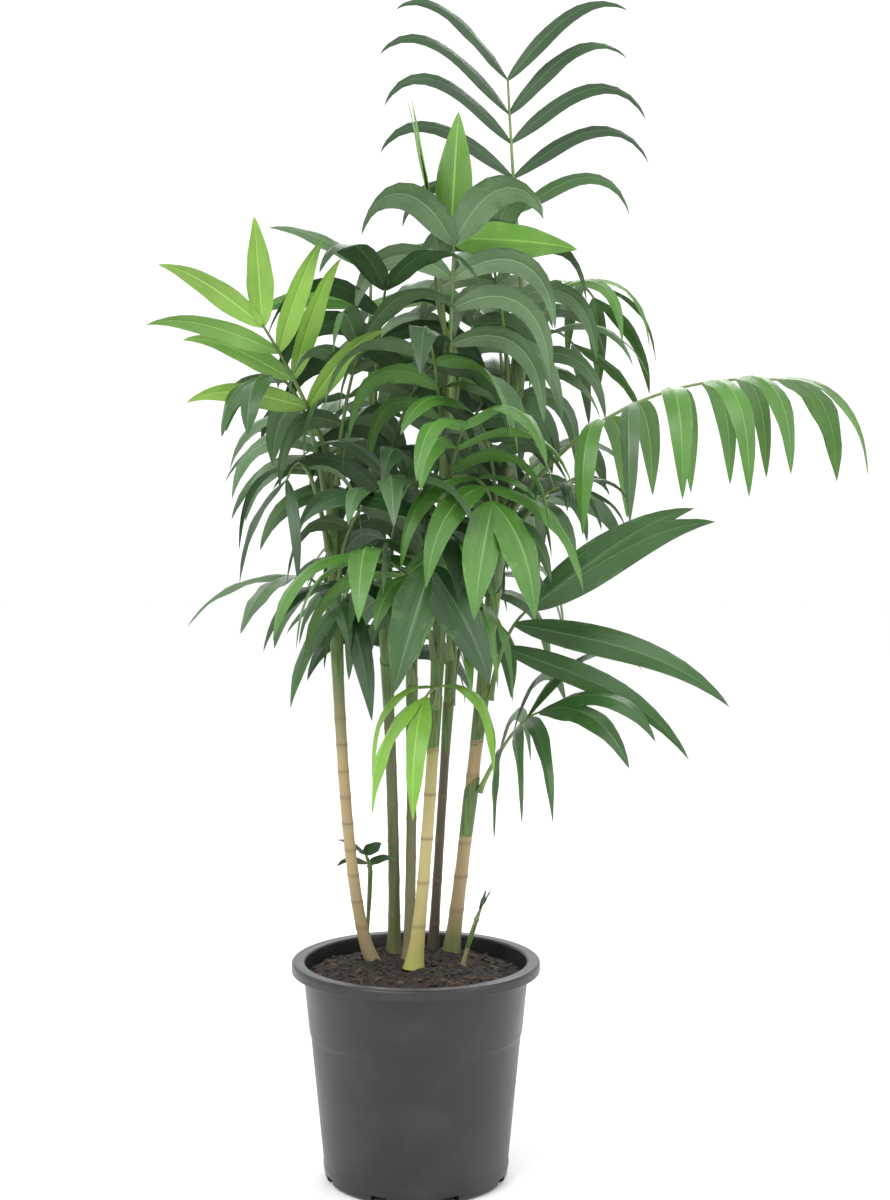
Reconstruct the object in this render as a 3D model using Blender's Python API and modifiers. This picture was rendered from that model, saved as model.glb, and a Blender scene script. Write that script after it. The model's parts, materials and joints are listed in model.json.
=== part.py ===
"""A bamboo palm in a black nursery pot, in metres with +Z up.

The origin is the centre of the pot's flat underside, and the plant is seen from -Y.
Six canes stand on the soil. Each frond is a stalk and rib with thin leaflets fused on,
and is one solid that meets its cane a hair's breadth clear.
"""

import math
import random
from typing import NamedTuple

import bmesh
import bpy
from mathutils import Matrix, Vector
from mathutils.bvhtree import BVHTree

# Pot and soil
POT_HEIGHT = 0.185
POT_BASE_RADIUS = 0.077
POT_SHOULDER_RADIUS = 0.0955
POT_RIM_RADIUS = 0.105
POT_WALL = 0.0018
POT_FLOOR = 0.008
LIP_DROP = 0.009
LIP_ROUND = 0.0025
LEDGE_HEIGHT = 0.122
LEDGE_STEP = 0.0008
BEAD_HEIGHT = 0.012
BEAD_STEP = 0.0007
FOOT_CHAMFER = 0.004
TURNED_STEPS = 40
DRAINS = 8
DRAIN_WIDTH = 0.014
DRAIN_REACH = 0.008
DRAIN_RISE = 0.0062
SOIL_LEVEL = 0.176
SOIL_PLATEAU = 0.080
SOIL_EDGE_DROP = 0.006

# Canes
CANE_STATIONS = 7
RING_SWELL = 0.08
RING_HALF = 0.0022
RING_LOWEST = 0.07
RING_HIGHEST = 0.50
FOOT_COLLAR = 0.003

# How close one solid may come to its neighbour, and the room kept round a leaflet
GAP = 0.0003
LEAF_ROOM = 0.0006
RIB_ROOM = 0.0009

# Leaflets and ribs
LEAF_THINNESS = 90.0
LEAF_LEAST_THICKNESS = 0.0014
LEAF_STATIONS = (0.0, 0.21, 0.58)
LEAF_STEPS = 24
LEAF_FOOT_WIDTH = 0.16
LEAF_SINK = 0.002
STALK_STATIONS = 3
RIB_SIDES = 4
RIB_STEPS = 40
STALK_RADIUS = 0.0026
RIB_TIP_RADIUS = 0.0010
LEAF_TRIES = 12
LEAF_WANDER = 0.6
LEAF_SHORTENING = 0.95
RIB_TRIES = 19
RIB_TURN = 4.0
RIB_PUSH = 0.003
UP = Vector((0.0, 0.0, 1.0))


class Cane(NamedTuple):
    """One stem: where it stands on the soil, the point that bows it, and its top."""

    foot: tuple
    bow: tuple
    top: tuple
    radius: float
    rings: int
    flare: float = 1.5


class Frond(NamedTuple):
    """One leaf, whose stalk and rib pass through middle and end at tip. Angles are in degrees."""

    cane: str
    height: float
    middle: tuple
    tip: tuple
    bare: float
    pairs: int
    leaf: float
    width: float
    spread: float = 50.0
    fork: float = 28.0
    lift: float = 6.0
    hang: float = 90.0
    limp: float = 3.0
    face_up: float = 0.3
    roll: float = 0.0
    tail: float = 1.3
    tone: str = "leaf_mid"


TOP = 1.0

CANES = {
    "left": Cane((-0.038, 0.032), (-0.065, 0.022, 0.230), (-0.070, 0.000, 0.600), 0.0050, 5),
    "mid_left": Cane((-0.020, 0.056), (-0.018, 0.054, 0.350), (-0.038, 0.034, 0.640), 0.0050, 4),
    "middle": Cane((-0.007, 0.036), (-0.003, 0.056, 0.300), (-0.005, 0.080, 0.480), 0.0046, 3),
    "centre": Cane((-0.002, 0.003), (0.016, -0.002, 0.300), (0.029, -0.008, 0.700), 0.0052, 4, 1.8),
    "right": Cane((0.030, 0.056), (0.050, 0.050, 0.330), (0.091, 0.030, 0.730), 0.0058, 5),
    "back": Cane((0.014, 0.068), (0.024, 0.076, 0.340), (0.036, 0.094, 0.520), 0.0042, 3),
    "left_shoot": Cane((-0.046, 0.050), (-0.041, 0.046, 0.210), (-0.040, 0.040, 0.256), 0.0018, 1),
    "right_shoot": Cane((0.040, 0.010), (0.044, 0.008, 0.195), (0.051, 0.006, 0.216), 0.0021, 1),
}

FRONDS = {
    "right_top": Frond(
        "right", TOP, (0.083, 0.028, 0.830), (0.077, 0.024, 0.925), 0.43, 5, 0.142, 0.0140,
        spread=47, fork=48, hang=115, roll=247, face_up=0.4, tail=1.0, tone="leaf_deep"),
    "right_arch": Frond(
        "right", 0.560, (0.172, -0.020, 0.648), (0.298, -0.030, 0.671), 0.42, 6, 0.130, 0.020,
        spread=62, fork=22, hang=240, limp=1.6, tone="leaf_mid"),
    "right_blade": Frond(
        "right", 0.400, (0.074, 0.040, 0.452), (0.098, 0.036, 0.480), 0.45, 3, 0.200, 0.024,
        spread=60, fork=4, hang=38, roll=82, face_up=0, tail=1.25, tone="leaf_deep"),
    "right_low": Frond(
        "right", 0.320, (0.081, 0.030, 0.371), (0.106, 0.010, 0.394), 0.35, 4, 0.145, 0.015,
        spread=50, fork=12, hang=125, limp=2, roll=35, face_up=0, tail=1.7, tone="leaf_deep"),
    "right_short": Frond(
        "right", 0.530, (0.108, 0.002, 0.577), (0.132, -0.018, 0.584), 0.40, 4, 0.070, 0.010,
        hang=120, tail=1.0, tone="leaf_deep"),
    "right_back": Frond(
        "right", 0.690, (0.124, 0.060, 0.755), (0.156, 0.090, 0.747), 0.45, 4, 0.110, 0.013,
        hang=170, limp=2, tone="leaf_mid"),
    "right_back_low": Frond(
        "right", 0.660, (0.107, 0.070, 0.715), (0.139, 0.100, 0.708), 0.45, 3, 0.110, 0.013,
        hang=100, limp=2, tone="leaf_mid"),
    "centre_spear": Frond(
        "centre", TOP, (0.017, -0.018, 0.753), (0.031, -0.024, 0.787), 1.0, 1, 0.115, 0.031,
        fork=47, lift=0, hang=12, roll=90, face_up=0, tail=1.0, tone="leaf_fresh"),
    "centre_young": Frond(
        "centre", 0.680, (0.022, -0.028, 0.745), (0.016, -0.033, 0.790), 1.0, 1, 0.122, 0.014,
        fork=5, lift=0, hang=10, face_up=0, tail=1.0, tone="leaf_fresh"),
    "centre_broad": Frond(
        "centre", 0.560, (0.010, -0.060, 0.560), (0.012, -0.090, 0.520), 0.5, 2, 0.120, 0.026,
        spread=60, fork=30, hang=60, face_up=0, tail=1.4, tone="leaf_deep"),
    "centre_front": Frond(
        "centre", 0.590, (0.050, -0.060, 0.590), (0.062, -0.085, 0.570), 0.5, 3, 0.120, 0.022,
        spread=60, fork=25, hang=140, limp=1.6, face_up=0, tail=1.4, tone="leaf_mid"),
    "centre_low": Frond(
        "centre", 0.400, (0.018, -0.032, 0.419), (0.008, -0.050, 0.412), 0.5, 2, 0.120, 0.020,
        hang=200, limp=1.6, tail=1.2, tone="leaf_fresh"),
    "mid_left_top": Frond(
        "mid_left", TOP, (-0.039, 0.032, 0.716), (-0.037, 0.034, 0.770), 0.7, 2, 0.110, 0.016,
        spread=62, fork=62, hang=40, roll=41, tail=1.0, tone="leaf_mid"),
    "mid_left_low": Frond(
        "mid_left", 0.470, (-0.047, 0.006, 0.505), (-0.058, -0.022, 0.490), 0.5, 3, 0.125, 0.014,
        hang=110, limp=2, tone="leaf_deep"),
    "left_top": Frond(
        "left", TOP, (-0.093, -0.040, 0.661), (-0.120, -0.075, 0.712), 0.40, 4, 0.110, 0.019,
        spread=40, fork=24, hang=35, roll=46, face_up=0, tail=1.1, tone="leaf_fresh"),
    "left_mid": Frond(
        "left", 0.575, (-0.093, -0.030, 0.655), (-0.117, -0.060, 0.671), 0.45, 3, 0.080, 0.020,
        spread=60, hang=170, limp=1.5, face_up=0, tone="leaf_deep"),
    "left_thin": Frond(
        "left", 0.530, (-0.088, -0.030, 0.597), (-0.103, -0.060, 0.588), 0.55, 2, 0.115, 0.008,
        spread=60, hang=160, limp=1.7, tone="leaf_deep"),
    "left_low": Frond(
        "left", 0.465, (-0.080, -0.008, 0.500), (-0.098, -0.022, 0.510), 0.5, 2, 0.125, 0.018,
        spread=70, fork=34, hang=90, limp=1.7, tone="leaf_mid"),
    "left_sprout": Frond(
        "left_shoot", TOP, (-0.042, 0.038, 0.262), (-0.044, 0.034, 0.268), 0.3, 2, 0.034, 0.010,
        fork=45, hang=60, tone="leaf_deep"),
    "right_sprout": Frond(
        "right_shoot", TOP, (0.053, 0.006, 0.222), (0.055, 0.005, 0.227), 0.3, 1, 0.026, 0.004,
        fork=14, hang=10, tone="leaf_deep"),
}


class Spray(NamedTuple):
    """Fronds up one cane that leave it in turn towards the front and the back."""

    cane: str
    low: float
    high: float
    count: int
    heading: float
    reach: float
    leaf: float
    width: float
    tone: str


SPRAYS = (
    Spray("left", 0.500, 0.585, 3, -75, 0.13, 0.115, 0.018, "leaf_mid"),
    Spray("mid_left", 0.430, 0.625, 6, 105, 0.15, 0.130, 0.020, "leaf_deep"),
    Spray("middle", 0.380, 0.475, 4, 80, 0.16, 0.130, 0.020, "leaf_deep"),
    Spray("centre", 0.440, 0.640, 7, -105, 0.15, 0.130, 0.021, "leaf_mid"),
    Spray("right", 0.440, 0.640, 5, -105, 0.14, 0.125, 0.018, "leaf_mid"),
    Spray("back", 0.390, 0.515, 4, 60, 0.17, 0.130, 0.019, "leaf_deep"),
)
SPRAY_FAN = 24.0
SPRAY_LEAST_RISE = 38.0
SPRAY_MORE_RISE = 30.0
SPRAY_ARCH = 0.20


def spray_fronds():
    """The fronds between the ones that stand out, steeper the higher they grow."""
    fronds = {}
    for seed, spray in enumerate(SPRAYS):
        rng = random.Random(seed)
        cane = CANES[spray.cane]
        for k in range(spray.count):
            growth = k / (spray.count - 1)
            height = spray.low + (spray.high - spray.low) * growth
            pivot = cane_point(cane, cane_share_at(cane, height))
            fan = rng.uniform(-SPRAY_FAN, SPRAY_FAN)
            heading = math.radians(spray.heading + 180 * (k % 2) + fan)
            rise = math.radians(SPRAY_LEAST_RISE + SPRAY_MORE_RISE * growth + rng.uniform(-8, 8))
            reach = spray.reach * rng.uniform(0.85, 1.15)
            outward = Vector((math.cos(heading), math.sin(heading), 0.0))
            chord = (outward * math.cos(rise) + UP * math.sin(rise)) * reach
            upward = UP * math.cos(rise) - outward * math.sin(rise)
            middle = pivot + chord * 0.5 + upward * reach * SPRAY_ARCH * math.cos(rise)
            fronds[f"{spray.cane}_{k + 1}"] = Frond(
                spray.cane, height, tuple(middle), tuple(pivot + chord), 0.42, 4,
                spray.leaf, spray.width, hang=rng.uniform(120, 240), limp=1.8,
                face_up=0.1, roll=rng.uniform(-40, 40),
                tone=spray.tone)
    return fronds


TONES = {
    "leaf_fresh": (0.130, 0.300, 0.028),
    "leaf_mid": (0.060, 0.170, 0.022),
    "leaf_deep": (0.022, 0.085, 0.014),
}


def bezier(start, bow, end, share):
    """A point on the curve from start to end that is pulled towards bow."""
    return start * (1 - share) ** 2 + bow * (2 * share * (1 - share)) + end * share**2


def cane_point(cane, share):
    """The middle of the cane at this share of its height."""
    foot, bow, top = Vector((*cane.foot, SOIL_LEVEL + GAP)), Vector(cane.bow), Vector(cane.top)
    bend, slope, rest = top.z - 2 * bow.z + foot.z, 2 * (bow.z - foot.z), share * (top.z - foot.z)
    return bezier(foot, bow, top, 2 * rest / (slope + math.sqrt(slope**2 + 4 * bend * rest)))


def ring_heights(cane):
    """The heights of the scars that fallen leaves left round the bare lower part."""
    base, length = SOIL_LEVEL + GAP, cane.top[2] - SOIL_LEVEL - GAP
    gaps = max(1, cane.rings - 1)
    return [base + length * (RING_LOWEST + (RING_HIGHEST - RING_LOWEST) * k / gaps) for k in range(cane.rings)]


def cane_radius(cane, share):
    """Taper, a flare at the root, and the leaf bases that thicken the green upper part."""
    taper = 1.0 - 0.16 * share
    flare = (cane.flare - 1.0) * math.exp(-share / 0.035)
    sheath = 0.12 * min(1.0, max(0.0, (share - 0.45) / 0.2))
    return cane.radius * (taper + flare + sheath)


def cane_stations(cane):
    """Heights up the cane, each with whether it is the crest of a ring."""
    base, top = SOIL_LEVEL + GAP, cane.top[2]
    crests = ring_heights(cane)
    plain = [base + (top - base) * k / CANE_STATIONS for k in range(CANE_STATIONS + 1)]
    plain = [h for h in plain if all(abs(h - crest) > 2 * RING_HALF for crest in crests)]
    feet = [base + FOOT_COLLAR]
    sides = [crest + side for crest in crests for side in (-RING_HALF, RING_HALF)]
    return sorted([(h, False) for h in plain + feet + sides] + [(h, True) for h in crests])


def cane_share_at(cane, height):
    """The share of the way up at which the cane reaches a height."""
    foot = SOIL_LEVEL + GAP
    return (height - foot) / (cane.top[2] - foot)


class Frame(NamedTuple):
    """A place along a stalk or rib, with the way it runs, its left side and its upper side."""

    point: Vector
    way: Vector
    side: Vector
    normal: Vector


def rib_start(pivot, outward, way, tree):
    """Where the stalk begins: outward from its cane's middle, and a hair's breadth clear of it."""
    side = way.orthogonal().normalized()
    start = pivot + outward * 0.02
    for _ in range(4):
        rim = [
            Matrix.Rotation(math.tau * k / 8, 3, way) @ side * (STALK_RADIUS * reach)
            for k in range(8) for reach in (0.5, 1.0)
        ]
        nearest = min(tree.find_nearest(start + point)[3] for point in [Vector(), *rim])
        start -= outward * (nearest - GAP)
    return start


def rib_frames(frond, turn, push, tree):
    """The stalk and rib as closely spaced frames, from the cane to the last pair of leaflets."""
    cane = CANES[frond.cane]
    is_top = frond.height == TOP
    pivot = cane_point(cane, 1.0 if is_top else cane_share_at(cane, frond.height))
    swing = Matrix.Rotation(math.radians(turn), 3, UP)
    middle = pivot + swing @ (Vector(frond.middle) - pivot)
    tip = pivot + swing @ (Vector(frond.tip) - pivot)
    aside = Vector((middle.x - pivot.x, middle.y - pivot.y, 0.0)).normalized()
    middle += aside * push
    start = bow = middle
    way = middle - pivot
    for _ in range(3):
        start = rib_start(pivot, UP if is_top else aside, way.normalized(), tree)
        bow = middle * 2 - (start + tip) / 2
        way = bow - start
    points = [bezier(start, bow, tip, k / RIB_STEPS) for k in range(RIB_STEPS + 1)]
    ways = [
        (points[min(k + 1, RIB_STEPS)] - points[max(k - 1, 0)]).normalized()
        for k in range(RIB_STEPS + 1)
    ]
    side = Matrix.Rotation(math.radians(frond.roll), 3, ways[-1]) @ UP.cross(ways[-1]).normalized()
    frames = []
    for point, way in zip(reversed(points), reversed(ways)):
        side = (side - way * side.dot(way)).normalized()
        frames.append(Frame(point, way, side, way.cross(side)))
    return frames[::-1]


def leaves_cane(frames, tree):
    """Whether the stalk stays clear of its own cane once it has left it."""
    for k, frame in enumerate(frames):
        if (frame.point - frames[0].point).length > STALK_RADIUS:
            if tree.find_nearest(frame.point)[3] < stalk_radius(k / RIB_STEPS) + GAP / 2:
                return False
    return True


def stalk_radius(share):
    return STALK_RADIUS + (RIB_TIP_RADIUS - STALK_RADIUS) * share**0.7


def frame_at(frames, share):
    return frames[round(share * RIB_STEPS)]


class Leaflet(NamedTuple):
    """One leaflet: its midline, the way across it and its upper side at each step."""

    points: list
    across: list
    normals: list
    length: float
    width: float


def leaf_width(leaflet, share):
    """Lance-shaped: narrow at the foot, widest at a third, drawn out to a fine tip."""
    body = max(0.0, math.sin(math.pi * min(1.0, share) ** 0.7)) ** 0.9
    foot = LEAF_FOOT_WIDTH * (1.0 - share)
    return leaflet.width * max(body, foot)


def grow_leaflet(frond, frame, share, hand, rng, attempt):
    """A leaflet that leaves the rib on one hand and bows under its own weight."""
    last = share > 0.999
    wander = 1.0 + LEAF_WANDER * attempt
    spread = frond.fork if last else frond.spread * (1.35 - 0.5 * share)
    angle = math.radians(spread + rng.uniform(-5, 5) * wander)
    lift = math.radians(frond.lift + rng.uniform(-7, 7) * wander)
    outward = frame.side * (hand * math.cos(lift)) + frame.normal * math.sin(lift)
    way = (frame.way * math.cos(angle) + outward * math.sin(angle)).normalized()
    length = frond.leaf * (0.92 + 0.36 * share - 0.40 * share**2) * rng.uniform(0.94, 1.06)
    length *= LEAF_SHORTENING**attempt
    width = frond.width * rng.uniform(0.92, 1.08) * (frond.tail if last else 1.0)
    normal = frame.normal.lerp(UP, frond.face_up)
    normal = (normal - way * normal.dot(way)).normalized()
    twist = Matrix.Rotation(math.radians(rng.uniform(-14, 14) * wander), 3, way)
    normal = twist @ normal
    hang = math.radians(frond.hang * (1.25 - 0.5 * share) * rng.uniform(0.85, 1.15))
    step = length / LEAF_STEPS
    point = frame.point - frame.way * LEAF_SINK
    points, across, normals = [point.copy()], [way.cross(normal)], [normal.copy()]
    for k in range(LEAF_STEPS):
        weight = frond.limp * ((k + 0.5) / LEAF_STEPS) ** (frond.limp - 1)
        way = (way - UP * (hang * weight / LEAF_STEPS)).normalized()
        normal = (normal - way * normal.dot(way)).normalized()
        point = point + way * step
        points.append(point.copy())
        across.append(way.cross(normal))
        normals.append(normal.copy())
    return Leaflet(points, across, normals, length, width)


def leaf_rings(leaflet, room=0.0):
    """Three-cornered rings along the leaflet, or four-cornered ones that keep room round it."""
    thick = max(LEAF_LEAST_THICKNESS, leaflet.length / LEAF_THINNESS)
    rings = []
    for share in LEAF_STATIONS:
        k = round(share * LEAF_STEPS)
        point, across, normal = leaflet.points[k], leaflet.across[k], leaflet.normals[k]
        half = across * (leaf_width(leaflet, k / LEAF_STEPS) / 2 + room)
        ring = [point + half, point - half, point + normal * (thick + room)]
        if room:
            ring.insert(1, point - normal * room)
        rings.append(ring)
    return rings


def leafy_share(frond, share):
    """A share of the leafy part of the rib, as a share of the whole stalk and rib."""
    return frond.bare + (1.0 - frond.bare) * share


def rib_shares(frond):
    """Where the stalk and rib are measured: up the bare stalk, then at each pair of leaflets."""
    bare = [frond.bare * k / STALK_STATIONS for k in range(STALK_STATIONS)]
    steps = 2 if frond.pairs == 2 else max(1, frond.pairs - 1)
    leafy = [leafy_share(frond, k / steps) for k in range(steps + 1)]
    return bare + (leafy if frond.pairs > 1 else [1.0])


def rib_rings(frond, frames, room=0.0):
    rings = []
    for share in rib_shares(frond):
        frame = frame_at(frames, share)
        radius = stalk_radius(share) + room
        ring = []
        for corner in range(RIB_SIDES):
            angle = math.tau * corner / RIB_SIDES
            spoke = frame.side * math.cos(angle) + frame.normal * math.sin(angle)
            ring.append(frame.point + spoke * radius)
        rings.append(ring)
    return rings


def loft(rings, tip=None):
    """Points and faces of a closed solid through the rings, ending flat or in a point."""
    size = len(rings[0])
    points = [point for ring in rings for point in ring]
    faces = [tuple(reversed(range(size)))]
    for row in range(len(rings) - 1):
        for k in range(size):
            low, high = row * size + k, row * size + (k + 1) % size
            faces.append((low, high, high + size, low + size))
    first = (len(rings) - 1) * size
    if tip is None:
        faces.append(tuple(range(first, first + size)))
    else:
        points.append(tip)
        faces += [(first + k, first + (k + 1) % size, len(points) - 1) for k in range(size)]
    return points, faces


class Space:
    """What already stands in the crown, so that no stalk or leaflet grows into it."""

    def __init__(self):
        self.taken = []

    def add(self, owner, points, faces):
        low = [min(p[k] for p in points) for k in range(3)]
        high = [max(p[k] for p in points) for k in range(3)]
        self.taken.append((owner, low, high, BVHTree.FromPolygons(points, faces)))

    def is_free(self, points, faces, owner):
        low = [min(p[k] for p in points) for k in range(3)]
        high = [max(p[k] for p in points) for k in range(3)]
        tree = BVHTree.FromPolygons(points, faces)
        for other, other_low, other_high, other_tree in self.taken:
            if other == owner:
                continue
            if any(low[k] > other_high[k] or high[k] < other_low[k] for k in range(3)):
                continue
            if tree.overlap(other_tree):
                return False
        return True


def grow_ribs(space, canes, fronds):
    """Each frond's frames, turned a little until its rib is clear of the canes and other ribs."""
    trees = {name: tree_of(cane) for name, cane in canes.items()}
    ribs = {}
    for name, frond in fronds.items():
        for k in range(RIB_TRIES):
            turn = RIB_TURN * ((k + 1) // 2) * (-1) ** k
            tree = trees[frond.cane]
            choices = (rib_frames(frond, turn, push * RIB_PUSH, tree) for push in range(6))
            frames = next((frames for frames in choices if leaves_cane(frames, tree)), None)
            if frames is None:
                continue
            if space.is_free(*loft(rib_rings(frond, frames, RIB_ROOM)), "cane_" + frond.cane):
                ribs[name] = frames
                space.add(name, *loft(rib_rings(frond, frames)))
                break
    return ribs


def grow_leaflets(space, name, frond, frames, seed):
    """The frond's leaflets, each turned and shortened for room, or left out where there is none."""
    leaflets = []
    for pair in range(frond.pairs):
        share = 1.0 - pair / max(1, frond.pairs - 1)
        frame = frame_at(frames, leafy_share(frond, share))
        for hand in (-1, 1):
            rng = random.Random(1000 * seed + 10 * pair + hand)
            for attempt in range(LEAF_TRIES):
                leaflet = grow_leaflet(frond, frame, share, hand, rng, attempt)
                if space.is_free(*loft(leaf_rings(leaflet, LEAF_ROOM), leaflet.points[-1]), name):
                    leaflets.append(leaflet)
                    break
    for leaflet in leaflets:
        space.add(name, *loft(leaf_rings(leaflet), leaflet.points[-1]))
    return leaflets


def grow_crown(canes):
    """The rib and leaflets of every frond."""
    space = Space()
    for name, cane in canes.items():
        space.add("cane_" + name, *faces_of(cane))
    fronds = FRONDS | spray_fronds()
    ribs = grow_ribs(space, canes, fronds)
    return {
        name: (fronds[name], frames, grow_leaflets(space, name, fronds[name], frames, seed))
        for seed, (name, frames) in enumerate(ribs.items())
    }


def clear_scene():
    for obj in list(bpy.data.objects):
        bpy.data.objects.remove(obj, do_unlink=True)


def new_collection(name):
    collection = bpy.data.collections.new(name)
    bpy.context.scene.collection.children.link(collection)
    return collection


def new_object(name, data, collection, parent=None, location=(0.0, 0.0, 0.0)):
    obj = bpy.data.objects.new(name, data)
    obj.parent = parent
    obj.location = location
    collection.objects.link(obj)
    return obj


def new_material(name, colour, roughness):
    """A matt or glossy surface of one colour."""
    material = bpy.data.materials.new(name)
    material.use_nodes = True
    shader = material.node_tree.nodes["Principled BSDF"]
    shader.inputs["Base Color"].default_value = (*colour, 1.0)
    shader.inputs["Roughness"].default_value = roughness
    shader.inputs["Metallic"].default_value = 0.0
    return material


def mesh_of(obj):
    """The object as it is drawn, as a new mesh in its own coordinates."""
    graph = bpy.context.evaluated_depsgraph_get()
    return bpy.data.meshes.new_from_object(obj.evaluated_get(graph))


def welded(mesh):
    """The same mesh with a tube's loose caps joined to it."""
    shape = bmesh.new()
    shape.from_mesh(mesh)
    bmesh.ops.remove_doubles(shape, verts=shape.verts, dist=0.00001)
    shape.to_mesh(mesh)
    shape.free()
    return mesh


def islands_of(shape):
    """The faces of each piece that hangs together by its edges, largest piece first."""
    left, islands = set(shape.faces), []
    while left:
        island, ahead = set(), [next(iter(left))]
        while ahead:
            face = ahead.pop()
            if face not in island:
                island.add(face)
                inner = [edge for edge in face.edges if len(edge.link_faces) == 2]
                ahead += [other for edge in inner for other in edge.link_faces]
        left -= island
        islands.append(island)
    return sorted(islands, key=len, reverse=True)


def keep_body(mesh):
    """Drops scraps and sealed hollows. True where one closed body is left."""
    shape = bmesh.new()
    shape.from_mesh(mesh)
    bmesh.ops.triangulate(shape, faces=shape.faces)
    for island in islands_of(shape)[1:]:
        bmesh.ops.delete(shape, geom=list(island), context="FACES")
    closed = len(shape.faces) > 0 and all(edge.is_manifold for edge in shape.edges)
    shape.to_mesh(mesh)
    shape.free()
    return closed


def faces_of(obj):
    """The object's points in the world, and its faces."""
    mesh = mesh_of(obj)
    points = [obj.matrix_world @ vertex.co for vertex in mesh.vertices]
    faces = [tuple(face.vertices) for face in mesh.polygons]
    bpy.data.meshes.remove(mesh)
    return points, faces


def tree_of(obj):
    return BVHTree.FromPolygons(*faces_of(obj))


def turn_profile(name, profile, collection, parent):
    """The profile turned round the upright axis."""
    mesh = bpy.data.meshes.new(name)
    edges = [(k, k + 1) for k in range(len(profile) - 1)]
    mesh.from_pydata([(radius, 0.0, height) for radius, height in profile], edges, [])
    obj = new_object(name, mesh, collection, parent)
    screw = obj.modifiers.new("turn", "SCREW")
    screw.steps = TURNED_STEPS
    screw.render_steps = TURNED_STEPS
    screw.use_merge_vertices = True
    screw.merge_threshold = 0.00005
    screw.use_smooth_shade = True
    return obj


def wall_radius(height):
    """The outside of the pot's wall, which widens evenly to the shoulder under the lip."""
    share = height / (POT_HEIGHT - LIP_DROP)
    return POT_BASE_RADIUS + (POT_SHOULDER_RADIUS - POT_BASE_RADIUS) * share


def lip_profile():
    """From the top of the inner wall over the rim and back under it to the shoulder."""
    inside, outside = POT_SHOULDER_RADIUS - POT_WALL, POT_RIM_RADIUS
    profile = []
    for corner, turn in ((inside + LIP_ROUND, math.pi), (outside - LIP_ROUND, math.pi / 2)):
        for k in range(3):
            angle = turn - k * math.pi / 4
            profile.append((
                corner + LIP_ROUND * math.cos(angle),
                POT_HEIGHT - LIP_ROUND + LIP_ROUND * math.sin(angle),
            ))
    return profile + [
        (outside, POT_HEIGHT - LIP_DROP),
        (outside - POT_WALL, POT_HEIGHT - LIP_DROP),
        (outside - POT_WALL, POT_HEIGHT - LIP_ROUND - POT_WALL),
        (POT_SHOULDER_RADIUS, POT_HEIGHT - LIP_ROUND - POT_WALL),
    ]


def pot_profile():
    """From the middle of the floor, up the inner wall, over the lip and down to the underside."""
    return [
        (0.0, POT_FLOOR),
        (wall_radius(POT_FLOOR) - POT_WALL, POT_FLOOR),
        *lip_profile(),
        (wall_radius(LEDGE_HEIGHT + 0.002), LEDGE_HEIGHT + 0.002),
        (wall_radius(LEDGE_HEIGHT) - LEDGE_STEP, LEDGE_HEIGHT),
        (wall_radius(BEAD_HEIGHT + 0.002), BEAD_HEIGHT + 0.002),
        (wall_radius(BEAD_HEIGHT) + BEAD_STEP, BEAD_HEIGHT),
        (wall_radius(FOOT_CHAMFER) + BEAD_STEP, FOOT_CHAMFER),
        (POT_BASE_RADIUS - FOOT_CHAMFER, 0.0),
        (0.0, 0.0),
    ]


def add_drain_cutters(collection):
    """Blocks that notch the foot of the pot."""
    for k in range(DRAINS):
        angle = math.tau * (k + 0.5) / DRAINS
        reach = 3 * DRAIN_REACH
        bpy.ops.mesh.primitive_cube_add(size=1.0)
        cutter = bpy.context.object
        cutter.name = f"drain_cutter_{k + 1}"
        cutter.scale = (reach, DRAIN_WIDTH, 2 * DRAIN_RISE)
        cutter.rotation_euler.z = angle
        middle = POT_BASE_RADIUS - DRAIN_REACH + reach / 2
        cutter.location = (middle * math.cos(angle), middle * math.sin(angle), 0.0)
        cutter.hide_render = True
        cutter.display_type = "WIRE"
        for holder in list(cutter.users_collection):
            holder.objects.unlink(cutter)
        collection.objects.link(cutter)


def build_pot(collection, cutters, parent):
    pot = turn_profile("pot", pot_profile(), collection, parent)
    pot.data.materials.append(new_material("pot_plastic", (0.012, 0.012, 0.013), 0.42))
    add_drain_cutters(cutters)
    notch = pot.modifiers.new("drains", "BOOLEAN")
    notch.operation = "DIFFERENCE"
    notch.operand_type = "COLLECTION"
    notch.collection = cutters


def build_soil(collection, parent):
    """The potting mix, which fills the pot and is level where the canes stand."""
    edge = SOIL_LEVEL - SOIL_EDGE_DROP
    floor = POT_FLOOR + GAP
    profile = [
        (0.0, SOIL_LEVEL),
        (SOIL_PLATEAU, SOIL_LEVEL),
        (inner_radius(edge) - GAP, edge),
        (inner_radius(floor) - GAP, floor),
        (0.0, floor),
    ]
    soil = turn_profile("soil", profile, collection, parent)
    soil.data.materials.append(new_material("potting_mix", (0.022, 0.015, 0.010), 0.95))


def inner_radius(height):
    """The inside of the pot's wall, straight from the floor to the lip."""
    low, high = wall_radius(POT_FLOOR), POT_SHOULDER_RADIUS
    share = (height - POT_FLOOR) / (POT_HEIGHT - LIP_ROUND - POT_FLOOR)
    return low + (high - low) * share - POT_WALL


def tube(name, stations, radius, resolution, collection, parent=None, location=(0.0, 0.0, 0.0)):
    """A round bar through the stations, each a point and its share of the radius."""
    curve = bpy.data.curves.new(name, "CURVE")
    curve.dimensions = "3D"
    curve.bevel_depth = radius
    curve.bevel_resolution = resolution
    curve.use_fill_caps = True
    spline = curve.splines.new("POLY")
    spline.points.add(len(stations) - 1)
    for point, (place, share) in zip(spline.points, stations):
        point.co = (*place, 1.0)
        point.radius = share
    return new_object(name, curve, collection, parent, location)


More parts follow.
